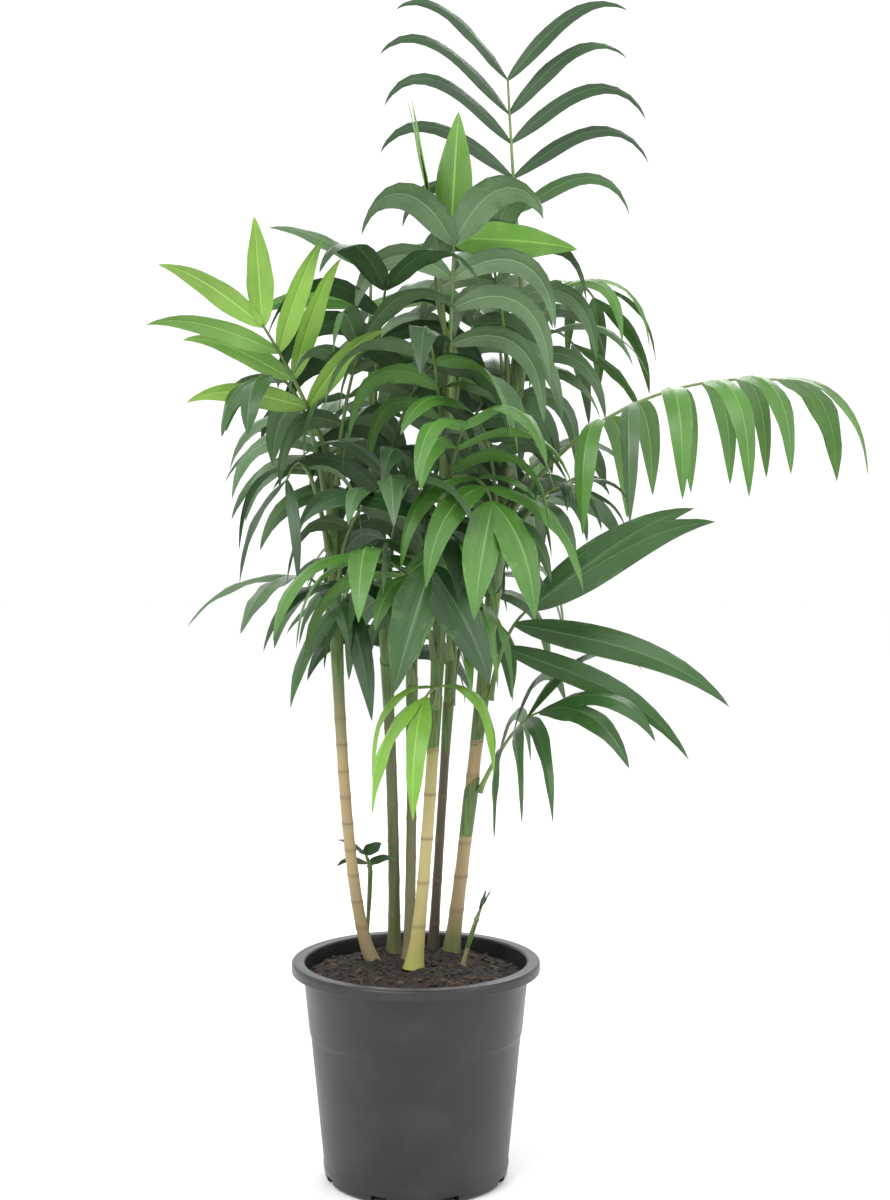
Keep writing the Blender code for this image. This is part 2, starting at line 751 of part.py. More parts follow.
def build_cane(name, cane, collection, parent, material):
    """A tapering stem on a flat foot, with a ring at each leaf scar."""
    foot = cane_point(cane, 0.0)
    stations = []
    for height, is_crest in cane_stations(cane):
        share = cane_share_at(cane, height)
        radius = cane_radius(cane, share) * (1.0 + RING_SWELL * is_crest)
        stations.append((cane_point(cane, share) - foot, radius / cane.radius))
    stations[1] = (UP * FOOT_COLLAR, stations[1][1])
    obj = tube("cane_" + name, stations, cane.radius, 2, collection, parent, foot)
    obj.data.materials.append(material)
    return obj


def joined(obj, pieces):
    """One closed mesh of the object and the pieces."""
    join = obj.modifiers.new("join", "BOOLEAN")
    join.operation = "UNION"
    join.operand_type = "COLLECTION"
    join.collection = pieces
    fused = mesh_of(obj)
    if not keep_body(fused):
        join.solver = "MANIFOLD"
        fused = mesh_of(obj)
        keep_body(fused)
    obj.modifiers.clear()
    return fused


def build_frond(name, frond, frames, leaflets, collection, parent, material):
    """The stalk and rib, with the leaflets fused on, hung from its cane."""
    pieces = new_collection("pieces")
    stations = [
        (frame_at(frames, share).point, stalk_radius(share) / STALK_RADIUS)
        for share in rib_shares(frond)
    ]
    rib = tube("rib", stations, STALK_RADIUS, 0, pieces)
    obj = new_object("frond_" + name, welded(mesh_of(rib)), collection)
    bpy.data.objects.remove(rib)
    for leaflet in leaflets:
        points, faces = loft(leaf_rings(leaflet), leaflet.points[-1])
        mesh = bpy.data.meshes.new("leaflet")
        mesh.from_pydata(points, [], faces)
        new_object("leaflet", mesh, pieces)
    fused = joined(obj, pieces)
    for piece in list(pieces.objects):
        bpy.data.objects.remove(piece)
    bpy.data.collections.remove(pieces)
    start = frames[0].point
    fused.transform(Matrix.Translation(-start))
    fused.shade_smooth()
    fused.set_sharp_from_angle(angle=math.radians(35))
    fused.materials.clear()
    fused.materials.append(material)
    obj.data = fused
    obj.parent = parent
    obj.location = start - parent.location


def main():
    clear_scene()
    collection = new_collection("bamboo_palm")
    cutters = new_collection("bamboo_palm_cutters")
    palm = new_object("bamboo_palm", None, collection)
    build_pot(collection, cutters, palm)
    build_soil(collection, palm)
    bark = new_material("cane_bark", (0.300, 0.240, 0.110), 0.60)
    canes = {name: build_cane(name, cane, collection, palm, bark) for name, cane in CANES.items()}
    bpy.context.view_layer.update()
    tones = {tone: new_material(tone, colour, 0.45) for tone, colour in TONES.items()}
    for name, (frond, frames, leaflets) in grow_crown(canes).items():
        cane, tone = canes[frond.cane], tones[frond.tone]
        build_frond(name, frond, frames, leaflets, collection, cane, tone)


if __name__ == "__main__":
    main()
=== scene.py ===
"""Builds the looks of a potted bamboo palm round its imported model, in metres with +Z up."""

import json
import math
import random
from typing import NamedTuple

import bmesh
import bpy
import numpy as np
from mathutils import Matrix, Vector, noise
from mathutils.bvhtree import BVHTree

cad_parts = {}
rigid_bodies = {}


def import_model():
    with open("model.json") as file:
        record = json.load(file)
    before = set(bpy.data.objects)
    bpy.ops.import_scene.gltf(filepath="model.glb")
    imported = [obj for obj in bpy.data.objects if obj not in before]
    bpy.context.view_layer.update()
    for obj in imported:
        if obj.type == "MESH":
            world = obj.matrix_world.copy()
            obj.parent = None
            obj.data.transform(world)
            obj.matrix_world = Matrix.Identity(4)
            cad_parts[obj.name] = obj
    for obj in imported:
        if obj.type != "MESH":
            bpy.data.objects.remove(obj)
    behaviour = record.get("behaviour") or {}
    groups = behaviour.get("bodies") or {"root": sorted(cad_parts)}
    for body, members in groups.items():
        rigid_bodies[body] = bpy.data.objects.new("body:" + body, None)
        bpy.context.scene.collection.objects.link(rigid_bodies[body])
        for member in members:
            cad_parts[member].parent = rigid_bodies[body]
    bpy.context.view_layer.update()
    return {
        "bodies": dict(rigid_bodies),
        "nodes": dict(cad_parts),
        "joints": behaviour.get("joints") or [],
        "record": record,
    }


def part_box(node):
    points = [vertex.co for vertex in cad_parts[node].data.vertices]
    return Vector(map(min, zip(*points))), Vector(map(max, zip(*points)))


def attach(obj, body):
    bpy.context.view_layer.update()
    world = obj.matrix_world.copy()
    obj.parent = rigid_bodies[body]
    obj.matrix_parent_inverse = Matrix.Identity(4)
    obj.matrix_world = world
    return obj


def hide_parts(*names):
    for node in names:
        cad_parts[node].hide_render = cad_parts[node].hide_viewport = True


bl_info = {
    "name": "Potted Bamboo Palm",
    "version": (1, 0, 0),
    "blender": (4, 5, 0),
    "location": "View3D > Sidebar > Bamboo Palm",
    "description": "Builds a clumping palm with ringed canes in a black nursery pot",
    "category": "Add Mesh",
}

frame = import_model()
BODY = "root"
UP = Vector((0.0, 0.0, 1.0))
TOP = 1.0
GAP = 0.0003
SOIL_LEVEL = 0.176

# Growth of ribs and leaflets, as in the part's source
LEAF_ROOM = 0.0006
RIB_ROOM = 0.0009
LEAF_THINNESS = 90.0
LEAF_LEAST_THICKNESS = 0.0014
LEAF_STATIONS = (0.0, 0.21, 0.58)
LEAF_STEPS = 24
LEAF_FOOT_WIDTH = 0.16
LEAF_SINK = 0.002
STALK_STATIONS = 3
RIB_SIDES = 4
RIB_STEPS = 40
STALK_RADIUS = 0.0026
RIB_TIP_RADIUS = 0.0010
LEAF_TRIES = 12
LEAF_WANDER = 0.6
LEAF_SHORTENING = 0.95
RIB_TRIES = 19
RIB_TURN = 4.0
RIB_PUSH = 0.003
RING_LOWEST = 0.07
RING_HIGHEST = 0.50

# The nursery pot and its filling
LIP_DROP = 0.009
TURNED_STEPS = 144
DRAIN_COUNT = 8
DRAIN_WIDTH = 0.014
DRAIN_REACH = 0.008
DRAIN_RISE = 0.0062
DRAIN_ROUNDING = 0.0012
MIX_RADIUS = 0.0926
MIX_DEPTH = 0.025
MIX_DRAFT = 0.975
MIX_CELLS = 150
CHIP_REACH = 0.088
CHIP_SINK = 0.35


class Cane(NamedTuple):
    """One stem: where it stands on the soil, the point that bows it, and its top."""

    foot: tuple
    bow: tuple
    top: tuple
    radius: float
    rings: int
    flare: float = 1.5


class Frond(NamedTuple):
    """One leaf, whose stalk and rib pass through middle and end at tip. Angles are in degrees."""

    cane: str
    height: float
    middle: tuple
    tip: tuple
    bare: float
    pairs: int
    leaf: float
    width: float
    spread: float = 50.0
    fork: float = 28.0
    lift: float = 6.0
    hang: float = 90.0
    limp: float = 3.0
    face_up: float = 0.3
    roll: float = 0.0
    tail: float = 1.3
    tone: str = "leaf_mid"


CANES = {
    "left": Cane((-0.038, 0.032), (-0.065, 0.022, 0.230), (-0.070, 0.000, 0.600), 0.0050, 5),
    "mid_left": Cane((-0.020, 0.056), (-0.018, 0.054, 0.350), (-0.038, 0.034, 0.640), 0.0050, 4),
    "middle": Cane((-0.007, 0.036), (-0.003, 0.056, 0.300), (-0.005, 0.080, 0.480), 0.0046, 3),
    "centre": Cane((-0.002, 0.003), (0.016, -0.002, 0.300), (0.029, -0.008, 0.700), 0.0052, 4, 1.8),
    "right": Cane((0.030, 0.056), (0.050, 0.050, 0.330), (0.091, 0.030, 0.730), 0.0058, 5),
    "back": Cane((0.014, 0.068), (0.024, 0.076, 0.340), (0.036, 0.094, 0.520), 0.0042, 3),
    "left_shoot": Cane((-0.046, 0.050), (-0.041, 0.046, 0.210), (-0.040, 0.040, 0.256), 0.0018, 1),
    "right_shoot": Cane((0.040, 0.010), (0.044, 0.008, 0.195), (0.051, 0.006, 0.216), 0.0021, 1),
}

FRONDS = {
    "right_top": Frond(
        "right", TOP, (0.083, 0.028, 0.830), (0.077, 0.024, 0.925), 0.43, 5, 0.142, 0.0140,
        spread=47, fork=48, hang=115, roll=247, face_up=0.4, tail=1.0, tone="leaf_deep"),
    "right_arch": Frond(
        "right", 0.560, (0.172, -0.020, 0.648), (0.298, -0.030, 0.671), 0.42, 6, 0.130, 0.020,
        spread=62, fork=22, hang=240, limp=1.6, tone="leaf_mid"),
    "right_blade": Frond(
        "right", 0.400, (0.074, 0.040, 0.452), (0.098, 0.036, 0.480), 0.45, 3, 0.200, 0.024,
        spread=60, fork=4, hang=38, roll=82, face_up=0, tail=1.25, tone="leaf_deep"),
    "right_low": Frond(
        "right", 0.320, (0.081, 0.030, 0.371), (0.106, 0.010, 0.394), 0.35, 4, 0.145, 0.015,
        spread=50, fork=12, hang=125, limp=2, roll=35, face_up=0, tail=1.7, tone="leaf_deep"),
    "right_short": Frond(
        "right", 0.530, (0.108, 0.002, 0.577), (0.132, -0.018, 0.584), 0.40, 4, 0.070, 0.010,
        hang=120, tail=1.0, tone="leaf_deep"),
    "right_back": Frond(
        "right", 0.690, (0.124, 0.060, 0.755), (0.156, 0.090, 0.747), 0.45, 4, 0.110, 0.013,
        hang=170, limp=2, tone="leaf_mid"),
    "right_back_low": Frond(
        "right", 0.660, (0.107, 0.070, 0.715), (0.139, 0.100, 0.708), 0.45, 3, 0.110, 0.013,
        hang=100, limp=2, tone="leaf_mid"),
    "centre_spear": Frond(
        "centre", TOP, (0.017, -0.018, 0.753), (0.031, -0.024, 0.787), 1.0, 1, 0.115, 0.031,
        fork=47, lift=0, hang=12, roll=90, face_up=0, tail=1.0, tone="leaf_fresh"),
    "centre_young": Frond(
        "centre", 0.680, (0.022, -0.028, 0.745), (0.016, -0.033, 0.790), 1.0, 1, 0.122, 0.014,
        fork=5, lift=0, hang=10, face_up=0, tail=1.0, tone="leaf_fresh"),
    "centre_broad": Frond(
        "centre", 0.560, (0.010, -0.060, 0.560), (0.012, -0.090, 0.520), 0.5, 2, 0.120, 0.026,
        spread=60, fork=30, hang=60, face_up=0, tail=1.4, tone="leaf_deep"),
    "centre_front": Frond(
        "centre", 0.590, (0.050, -0.060, 0.590), (0.062, -0.085, 0.570), 0.5, 3, 0.120, 0.022,
        spread=60, fork=25, hang=140, limp=1.6, face_up=0, tail=1.4, tone="leaf_mid"),
    "centre_low": Frond(
        "centre", 0.400, (0.018, -0.032, 0.419), (0.008, -0.050, 0.412), 0.5, 2, 0.120, 0.020,
        hang=200, limp=1.6, tail=1.2, tone="leaf_fresh"),
    "mid_left_top": Frond(
        "mid_left", TOP, (-0.039, 0.032, 0.716), (-0.037, 0.034, 0.770), 0.7, 2, 0.110, 0.016,
        spread=62, fork=62, hang=40, roll=41, tail=1.0, tone="leaf_mid"),
    "mid_left_low": Frond(
        "mid_left", 0.470, (-0.047, 0.006, 0.505), (-0.058, -0.022, 0.490), 0.5, 3, 0.125, 0.014,
        hang=110, limp=2, tone="leaf_deep"),
    "left_top": Frond(
        "left", TOP, (-0.093, -0.040, 0.661), (-0.120, -0.075, 0.712), 0.40, 4, 0.110, 0.019,
        spread=40, fork=24, hang=35, roll=46, face_up=0, tail=1.1, tone="leaf_fresh"),
    "left_mid": Frond(
        "left", 0.575, (-0.093, -0.030, 0.655), (-0.117, -0.060, 0.671), 0.45, 3, 0.080, 0.020,
        spread=60, hang=170, limp=1.5, face_up=0, tone="leaf_deep"),
    "left_thin": Frond(
        "left", 0.530, (-0.088, -0.030, 0.597), (-0.103, -0.060, 0.588), 0.55, 2, 0.115, 0.008,
        spread=60, hang=160, limp=1.7, tone="leaf_deep"),
    "left_low": Frond(
        "left", 0.465, (-0.080, -0.008, 0.500), (-0.098, -0.022, 0.510), 0.5, 2, 0.125, 0.018,
        spread=70, fork=34, hang=90, limp=1.7, tone="leaf_mid"),
    "left_sprout": Frond(
        "left_shoot", TOP, (-0.042, 0.038, 0.262), (-0.044, 0.034, 0.268), 0.3, 2, 0.034, 0.010,
        fork=45, hang=60, tone="leaf_deep"),
    "right_sprout": Frond(
        "right_shoot", TOP, (0.053, 0.006, 0.222), (0.055, 0.005, 0.227), 0.3, 1, 0.026, 0.004,
        fork=14, hang=10, tone="leaf_deep"),
}


class Spray(NamedTuple):
    """Fronds up one cane that leave it in turn towards the front and the back."""

    cane: str
    low: float
    high: float
    count: int
    heading: float
    reach: float
    leaf: float
    width: float
    tone: str


SPRAYS = (
    Spray("left", 0.500, 0.585, 3, -75, 0.13, 0.115, 0.018, "leaf_mid"),
    Spray("mid_left", 0.430, 0.625, 6, 105, 0.15, 0.130, 0.020, "leaf_deep"),
    Spray("middle", 0.380, 0.475, 4, 80, 0.16, 0.130, 0.020, "leaf_deep"),
    Spray("centre", 0.440, 0.640, 7, -105, 0.15, 0.130, 0.021, "leaf_mid"),
    Spray("right", 0.440, 0.640, 5, -105, 0.14, 0.125, 0.018, "leaf_mid"),
    Spray("back", 0.390, 0.515, 4, 60, 0.17, 0.130, 0.019, "leaf_deep"),
)
SPRAY_FAN = 24.0
SPRAY_LEAST_RISE = 38.0
SPRAY_MORE_RISE = 30.0
SPRAY_ARCH = 0.20


def spray_fronds():
    """The fronds between the ones that stand out, steeper the higher they grow."""
    fronds = {}
    for seed, spray in enumerate(SPRAYS):
        rng = random.Random(seed)
        cane = CANES[spray.cane]
        for k in range(spray.count):
            growth = k / (spray.count - 1)
            height = spray.low + (spray.high - spray.low) * growth
            pivot = cane_point(cane, cane_share_at(cane, height))
            fan = rng.uniform(-SPRAY_FAN, SPRAY_FAN)
            heading = math.radians(spray.heading + 180 * (k % 2) + fan)
            rise = math.radians(SPRAY_LEAST_RISE + SPRAY_MORE_RISE * growth + rng.uniform(-8, 8))
            reach = spray.reach * rng.uniform(0.85, 1.15)
            outward = Vector((math.cos(heading), math.sin(heading), 0.0))
            chord = (outward * math.cos(rise) + UP * math.sin(rise)) * reach
            upward = UP * math.cos(rise) - outward * math.sin(rise)
            middle = pivot + chord * 0.5 + upward * reach * SPRAY_ARCH * math.cos(rise)
            fronds[f"{spray.cane}_{k + 1}"] = Frond(
                spray.cane, height, tuple(middle), tuple(pivot + chord), 0.42, 4,
                spray.leaf, spray.width, hang=rng.uniform(120, 240), limp=1.8,
                face_up=0.1, roll=rng.uniform(-40, 40),
                tone=spray.tone)
    return fronds


def bezier(start, bow, end, share):
    """A point on the curve from start to end that is pulled towards bow."""
    return start * (1 - share) ** 2 + bow * (2 * share * (1 - share)) + end * share**2


def way_at(points, k):
    """The way that a line of points runs at one of them."""
    return (points[min(k + 1, len(points) - 1)] - points[max(k - 1, 0)]).normalized()


def cane_point(cane, share):
    """The middle of the cane at this share of its height."""
    foot, bow, top = Vector((*cane.foot, SOIL_LEVEL + GAP)), Vector(cane.bow), Vector(cane.top)
    bend, slope, rest = top.z - 2 * bow.z + foot.z, 2 * (bow.z - foot.z), share * (top.z - foot.z)
    return bezier(foot, bow, top, 2 * rest / (slope + math.sqrt(slope**2 + 4 * bend * rest)))


def cane_radius(cane, share):
    """Taper, a flare at the root, and the leaf bases that thicken the green upper part."""
    taper = 1.0 - 0.16 * share
    flare = (cane.flare - 1.0) * math.exp(-share / 0.035)
    sheath = 0.12 * min(1.0, max(0.0, (share - 0.45) / 0.2))
    return cane.radius * (taper + flare + sheath)


def cane_share_at(cane, height):
    """The share of the way up at which the cane reaches a height."""
    foot = SOIL_LEVEL + GAP
    return (height - foot) / (cane.top[2] - foot)


class Frame(NamedTuple):
    """A place along a stalk or rib, with the way it runs, its left side and its upper side."""

    point: Vector
    way: Vector
    side: Vector
    normal: Vector


def rib_start(pivot, outward, way, tree):
    """Where the stalk begins: outward from its cane's middle, and a hair's breadth clear of it."""
    side = way.orthogonal().normalized()
    start = pivot + outward * 0.02
    for _ in range(4):
        rim = [
            Matrix.Rotation(math.tau * k / 8, 3, way) @ side * (STALK_RADIUS * reach)
            for k in range(8) for reach in (0.5, 1.0)
        ]
        nearest = min(tree.find_nearest(start + point)[3] for point in [Vector(), *rim])
        start -= outward * (nearest - GAP)
    return start


def rib_frames(frond, turn, push, tree):
    """The stalk and rib as closely spaced frames, from the cane to the last pair of leaflets."""
    cane = CANES[frond.cane]
    is_top = frond.height == TOP
    pivot = cane_point(cane, 1.0 if is_top else cane_share_at(cane, frond.height))
    swing = Matrix.Rotation(math.radians(turn), 3, UP)
    middle = pivot + swing @ (Vector(frond.middle) - pivot)
    tip = pivot + swing @ (Vector(frond.tip) - pivot)
    aside = Vector((middle.x - pivot.x, middle.y - pivot.y, 0.0)).normalized()
    middle += aside * push
    start = bow = middle
    way = middle - pivot
    for _ in range(3):
        start = rib_start(pivot, UP if is_top else aside, way.normalized(), tree)
        bow = middle * 2 - (start + tip) / 2
        way = bow - start
    points = [bezier(start, bow, tip, k / RIB_STEPS) for k in range(RIB_STEPS + 1)]
    ways = [way_at(points, k) for k in range(RIB_STEPS + 1)]
    side = Matrix.Rotation(math.radians(frond.roll), 3, ways[-1]) @ UP.cross(ways[-1]).normalized()
    frames = []
    for point, way in zip(reversed(points), reversed(ways)):
        side = (side - way * side.dot(way)).normalized()
        frames.append(Frame(point, way, side, way.cross(side)))
    return frames[::-1]


def leaves_cane(frames, tree):
    """Whether the stalk stays clear of its own cane once it has left it."""
    for k, frame in enumerate(frames):
        if (frame.point - frames[0].point).length > STALK_RADIUS:
            if tree.find_nearest(frame.point)[3] < stalk_radius(k / RIB_STEPS) + GAP / 2:
                return False
    return True


def stalk_radius(share):
    return STALK_RADIUS + (RIB_TIP_RADIUS - STALK_RADIUS) * share**0.7


def frame_at(frames, share):
    return frames[round(share * RIB_STEPS)]


class Leaflet(NamedTuple):
    """One leaflet: its midline, the way across it and its upper side at each step."""

    points: list
    across: list
    normals: list
    length: float
    width: float


def leaf_width(leaflet, share):
    """Lance-shaped: narrow at the foot, widest at a third, drawn out to a fine tip."""
    body = max(0.0, math.sin(math.pi * min(1.0, share) ** 0.7)) ** 0.9
    foot = LEAF_FOOT_WIDTH * (1.0 - share)
    return leaflet.width * max(body, foot)


def grow_leaflet(frond, frame, share, hand, rng, attempt):
    """A leaflet that leaves the rib on one hand and bows under its own weight."""
    last = share > 0.999
    wander = 1.0 + LEAF_WANDER * attempt
    spread = frond.fork if last else frond.spread * (1.35 - 0.5 * share)
    angle = math.radians(spread + rng.uniform(-5, 5) * wander)
    lift = math.radians(frond.lift + rng.uniform(-7, 7) * wander)
    outward = frame.side * (hand * math.cos(lift)) + frame.normal * math.sin(lift)
    way = (frame.way * math.cos(angle) + outward * math.sin(angle)).normalized()
    length = frond.leaf * (0.92 + 0.36 * share - 0.40 * share**2) * rng.uniform(0.94, 1.06)
    length *= LEAF_SHORTENING**attempt
    width = frond.width * rng.uniform(0.92, 1.08) * (frond.tail if last else 1.0)
    normal = frame.normal.lerp(UP, frond.face_up)
    normal = (normal - way * normal.dot(way)).normalized()
    twist = Matrix.Rotation(math.radians(rng.uniform(-14, 14) * wander), 3, way)
    normal = twist @ normal
    hang = math.radians(frond.hang * (1.25 - 0.5 * share) * rng.uniform(0.85, 1.15))
    step = length / LEAF_STEPS
    point = frame.point - frame.way * LEAF_SINK
    points, across, normals = [point.copy()], [way.cross(normal)], [normal.copy()]
    for k in range(LEAF_STEPS):
        weight = frond.limp * ((k + 0.5) / LEAF_STEPS) ** (frond.limp - 1)
        way = (way - UP * (hang * weight / LEAF_STEPS)).normalized()
        normal = (normal - way * normal.dot(way)).normalized()
        point = point + way * step
        points.append(point.copy())
        across.append(way.cross(normal))
        normals.append(normal.copy())
    return Leaflet(points, across, normals, length, width)


def leaf_rings(leaflet, room=0.0):
    """Three-cornered rings along the leaflet, or four-cornered ones that keep room round it."""
    thick = max(LEAF_LEAST_THICKNESS, leaflet.length / LEAF_THINNESS)
    rings = []
    for share in LEAF_STATIONS:
        k = round(share * LEAF_STEPS)
        point, across, normal = leaflet.points[k], leaflet.across[k], leaflet.normals[k]
        half = across * (leaf_width(leaflet, k / LEAF_STEPS) / 2 + room)
        ring = [point + half, point - half, point + normal * (thick + room)]
        if room:
            ring.insert(1, point - normal * room)
        rings.append(ring)
    return rings


def leafy_share(frond, share):
    """A share of the leafy part of the rib, as a share of the whole stalk and rib."""
    return frond.bare + (1.0 - frond.bare) * share


def rib_shares(frond):
    """Where the stalk and rib are measured: up the bare stalk, then at each pair of leaflets."""
    bare = [frond.bare * k / STALK_STATIONS for k in range(STALK_STATIONS)]
    steps = 2 if frond.pairs == 2 else max(1, frond.pairs - 1)
    leafy = [leafy_share(frond, k / steps) for k in range(steps + 1)]
    return bare + (leafy if frond.pairs > 1 else [1.0])


def rib_rings(frond, frames, room=0.0):
    rings = []
    for share in rib_shares(frond):
        frame = frame_at(frames, share)
        radius = stalk_radius(share) + room
        ring = []
        for corner in range(RIB_SIDES):
            angle = math.tau * corner / RIB_SIDES
            spoke = frame.side * math.cos(angle) + frame.normal * math.sin(angle)
            ring.append(frame.point + spoke * radius)
        rings.append(ring)
    return rings


def loft(rings, tip=None):
    """Points and faces of a closed solid through the rings, ending flat or in a point."""
    size = len(rings[0])
    points = [point for ring in rings for point in ring]
    faces = [tuple(reversed(range(size)))]
    for row in range(len(rings) - 1):
        for k in range(size):
            low, high = row * size + k, row * size + (k + 1) % size
            faces.append((low, high, high + size, low + size))
    first = (len(rings) - 1) * size
    if tip is None:
        faces.append(tuple(range(first, first + size)))
    else:
        points.append(tip)
        faces += [(first + k, first + (k + 1) % size, len(points) - 1) for k in range(size)]
    return points, faces


class Space:
    """What already stands in the crown, so that no stalk or leaflet grows into it."""

    def __init__(self):
        self.taken = []

    def add(self, owner, points, faces):
        low = [min(p[k] for p in points) for k in range(3)]
        high = [max(p[k] for p in points) for k in range(3)]
        self.taken.append((owner, low, high, BVHTree.FromPolygons(points, faces)))

    def is_free(self, points, faces, owner):
        low = [min(p[k] for p in points) for k in range(3)]
        high = [max(p[k] for p in points) for k in range(3)]
        tree = BVHTree.FromPolygons(points, faces)
        for other, other_low, other_high, other_tree in self.taken:
            if other == owner:
                continue
            if any(low[k] > other_high[k] or high[k] < other_low[k] for k in range(3)):
                continue
            if tree.overlap(other_tree):
                return False
        return True


def grow_ribs(space, canes, fronds):
    """Each frond's frames, turned a little until its rib is clear of the canes and other ribs."""
    trees = {name: tree_of(cane) for name, cane in canes.items()}
    ribs = {}
    for name, frond in fronds.items():
        for k in range(RIB_TRIES):
            turn = RIB_TURN * ((k + 1) // 2) * (-1) ** k
            tree = trees[frond.cane]
            choices = (rib_frames(frond, turn, push * RIB_PUSH, tree) for push in range(6))
            frames = next((frames for frames in choices if leaves_cane(frames, tree)), None)
            if frames is None:
                continue
            if space.is_free(*loft(rib_rings(frond, frames, RIB_ROOM)), "cane_" + frond.cane):
                ribs[name] = frames
                space.add(name, *loft(rib_rings(frond, frames)))
                break
    return ribs


def grow_leaflets(space, name, frond, frames, seed):
    """The frond's leaflets, each turned and shortened for room, or left out where there is none."""
    leaflets = []
    for pair in range(frond.pairs):
        share = 1.0 - pair / max(1, frond.pairs - 1)
        frame = frame_at(frames, leafy_share(frond, share))
        for hand in (-1, 1):
            rng = random.Random(1000 * seed + 10 * pair + hand)
            for attempt in range(LEAF_TRIES):
                leaflet = grow_leaflet(frond, frame, share, hand, rng, attempt)
                if space.is_free(*loft(leaf_rings(leaflet, LEAF_ROOM), leaflet.points[-1]), name):
                    leaflets.append(leaflet)
                    break
    for leaflet in leaflets:
        space.add(name, *loft(leaf_rings(leaflet), leaflet.points[-1]))
    return leaflets


SHEATH_LENGTH = 0.040
BLADE_ROWS = (0, 1, 2, 4, 6, 8, 10, 12, 14, 16, 18, 20, 22, 23, 24)
BLADE_COLUMNS = 9
BLADE_THICKNESS = 0.00014

# Tone of the source's fronds, tint of their leaflets and what pales the underside
TINTS = (
    ("leaf_fresh", "spring", (0.30, 0.42, 0.10)),
    ("leaf_fresh", "fresh", (0.22, 0.36, 0.10)),
    ("leaf_mid", "grass", (0.16, 0.28, 0.09)),
    # This tint is a dull leaf green whose greyish cast is painted sheen: it stands in for light reflected
    # off the leaves.
    ("leaf_mid", "painted_sheen_green", (0.16, 0.24, 0.12)),
    ("leaf_deep", "deep", (0.10, 0.20, 0.07)),
    # This darkest tint is painted shade: it stands in for leaves shaded inside the crown.
    ("leaf_deep", "shade", (0.08, 0.16, 0.06)),
)

# Chips on the mix: name, how many, least and most radius, flatness, colour
CRUMBS = (
    ("mix_crumbs", 420, 0.0009, 0.0030, 0.75, (0.024, 0.015, 0.010)),
    ("bark_chips", 110, 0.0016, 0.0046, 0.45, (0.060, 0.034, 0.018)),
)


class CaneLook(NamedTuple):
    """Colours of one cane, and the share of its height at which it turns from low to high."""

    foot: tuple
    low: tuple
    high: tuple
    mottle: tuple
    scar: tuple
    turn: float


TAN, GREEN, OLIVE = (0.330, 0.250, 0.120), (0.090, 0.150, 0.035), (0.300, 0.270, 0.080)
DUSKY, BROWN, GREY_TAN = (0.050, 0.034, 0.030), (0.150, 0.095, 0.048), (0.240, 0.190, 0.110)
CANE_LOOKS = {
    "left": CaneLook((0.260, 0.200, 0.110), TAN, GREEN, GREY_TAN, BROWN, 0.42),
    "mid_left": CaneLook(
        (0.120, 0.130, 0.040), (0.085, 0.110, 0.035), DUSKY, (0.060, 0.055, 0.030), BROWN, 0.50),
    "middle": CaneLook((0.140, 0.110, 0.050), (0.110, 0.110, 0.045), GREEN, BROWN, BROWN, 0.45),
    "centre": CaneLook((0.330, 0.330, 0.080), (0.400, 0.340, 0.140), GREEN, OLIVE, BROWN, 0.50),
    "right": CaneLook((0.110, 0.130, 0.040), TAN, GREEN, GREY_TAN, BROWN, 0.48),
    "back": CaneLook((0.070, 0.050, 0.030), (0.080, 0.062, 0.036), GREEN, DUSKY, BROWN, 0.55),
    "left_shoot": CaneLook(GREEN, GREEN, GREEN, OLIVE, BROWN, 0.50),
    "right_shoot": CaneLook((0.200, 0.170, 0.080), (0.230, 0.200, 0.100), GREY_TAN, BROWN, BROWN, 0.50),
}


def grow_crown(canes):
    """The rib and leaflets of every frond."""
    space = Space()
    for name, cane in canes.items():
        space.add("cane_" + name, *faces_of(cane))
    fronds = FRONDS | spray_fronds()
    ribs = grow_ribs(space, canes, fronds)
    return {
        name: (fronds[name], frames, grow_leaflets(space, name, fronds[name], frames, seed))
        for seed, (name, frames) in enumerate(ribs.items())
    }


def faces_of(node):
    """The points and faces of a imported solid."""
    mesh = node.data
    return [vert.co.copy() for vert in mesh.vertices], [tuple(face.vertices) for face in mesh.polygons]


def tree_of(node):
    return BVHTree.FromPolygons(*faces_of(node))


CROWN = grow_crown({name: frame["nodes"]["cane_" + name] for name in CANES})


class PotSizes(bpy.types.PropertyGroup):
    """Sizes and colour of the nursery pot and the potting mix."""

    rim_radius: bpy.props.FloatProperty(
        name="Rim radius", description="Outside of the rolled lip", unit="LENGTH",
        default=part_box("pot")[1].x)
    height: bpy.props.FloatProperty(
        name="Height", description="From the foot to the top of the lip", unit="LENGTH",
        default=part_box("pot")[1].z)
    base_radius: bpy.props.FloatProperty(
        name="Foot radius", description="Outside of the wall at the foot", default=0.077, unit="LENGTH")
    shoulder_radius: bpy.props.FloatProperty(
        name="Shoulder radius", description="Outside of the wall under the lip", unit="LENGTH",
        default=0.0955)
    wall: bpy.props.FloatProperty(
        name="Wall", description="Thickness of the moulded wall", default=0.0018, unit="LENGTH")
    plastic: bpy.props.FloatVectorProperty(
        name="Plastic", description="Colour of the pot", subtype="COLOR", size=3,
        default=(0.010, 0.010, 0.011))
    mix: bpy.props.FloatVectorProperty(
        name="Potting mix", description="Colour of the dark mix", subtype="COLOR", size=3,
        default=(0.020, 0.013, 0.009))


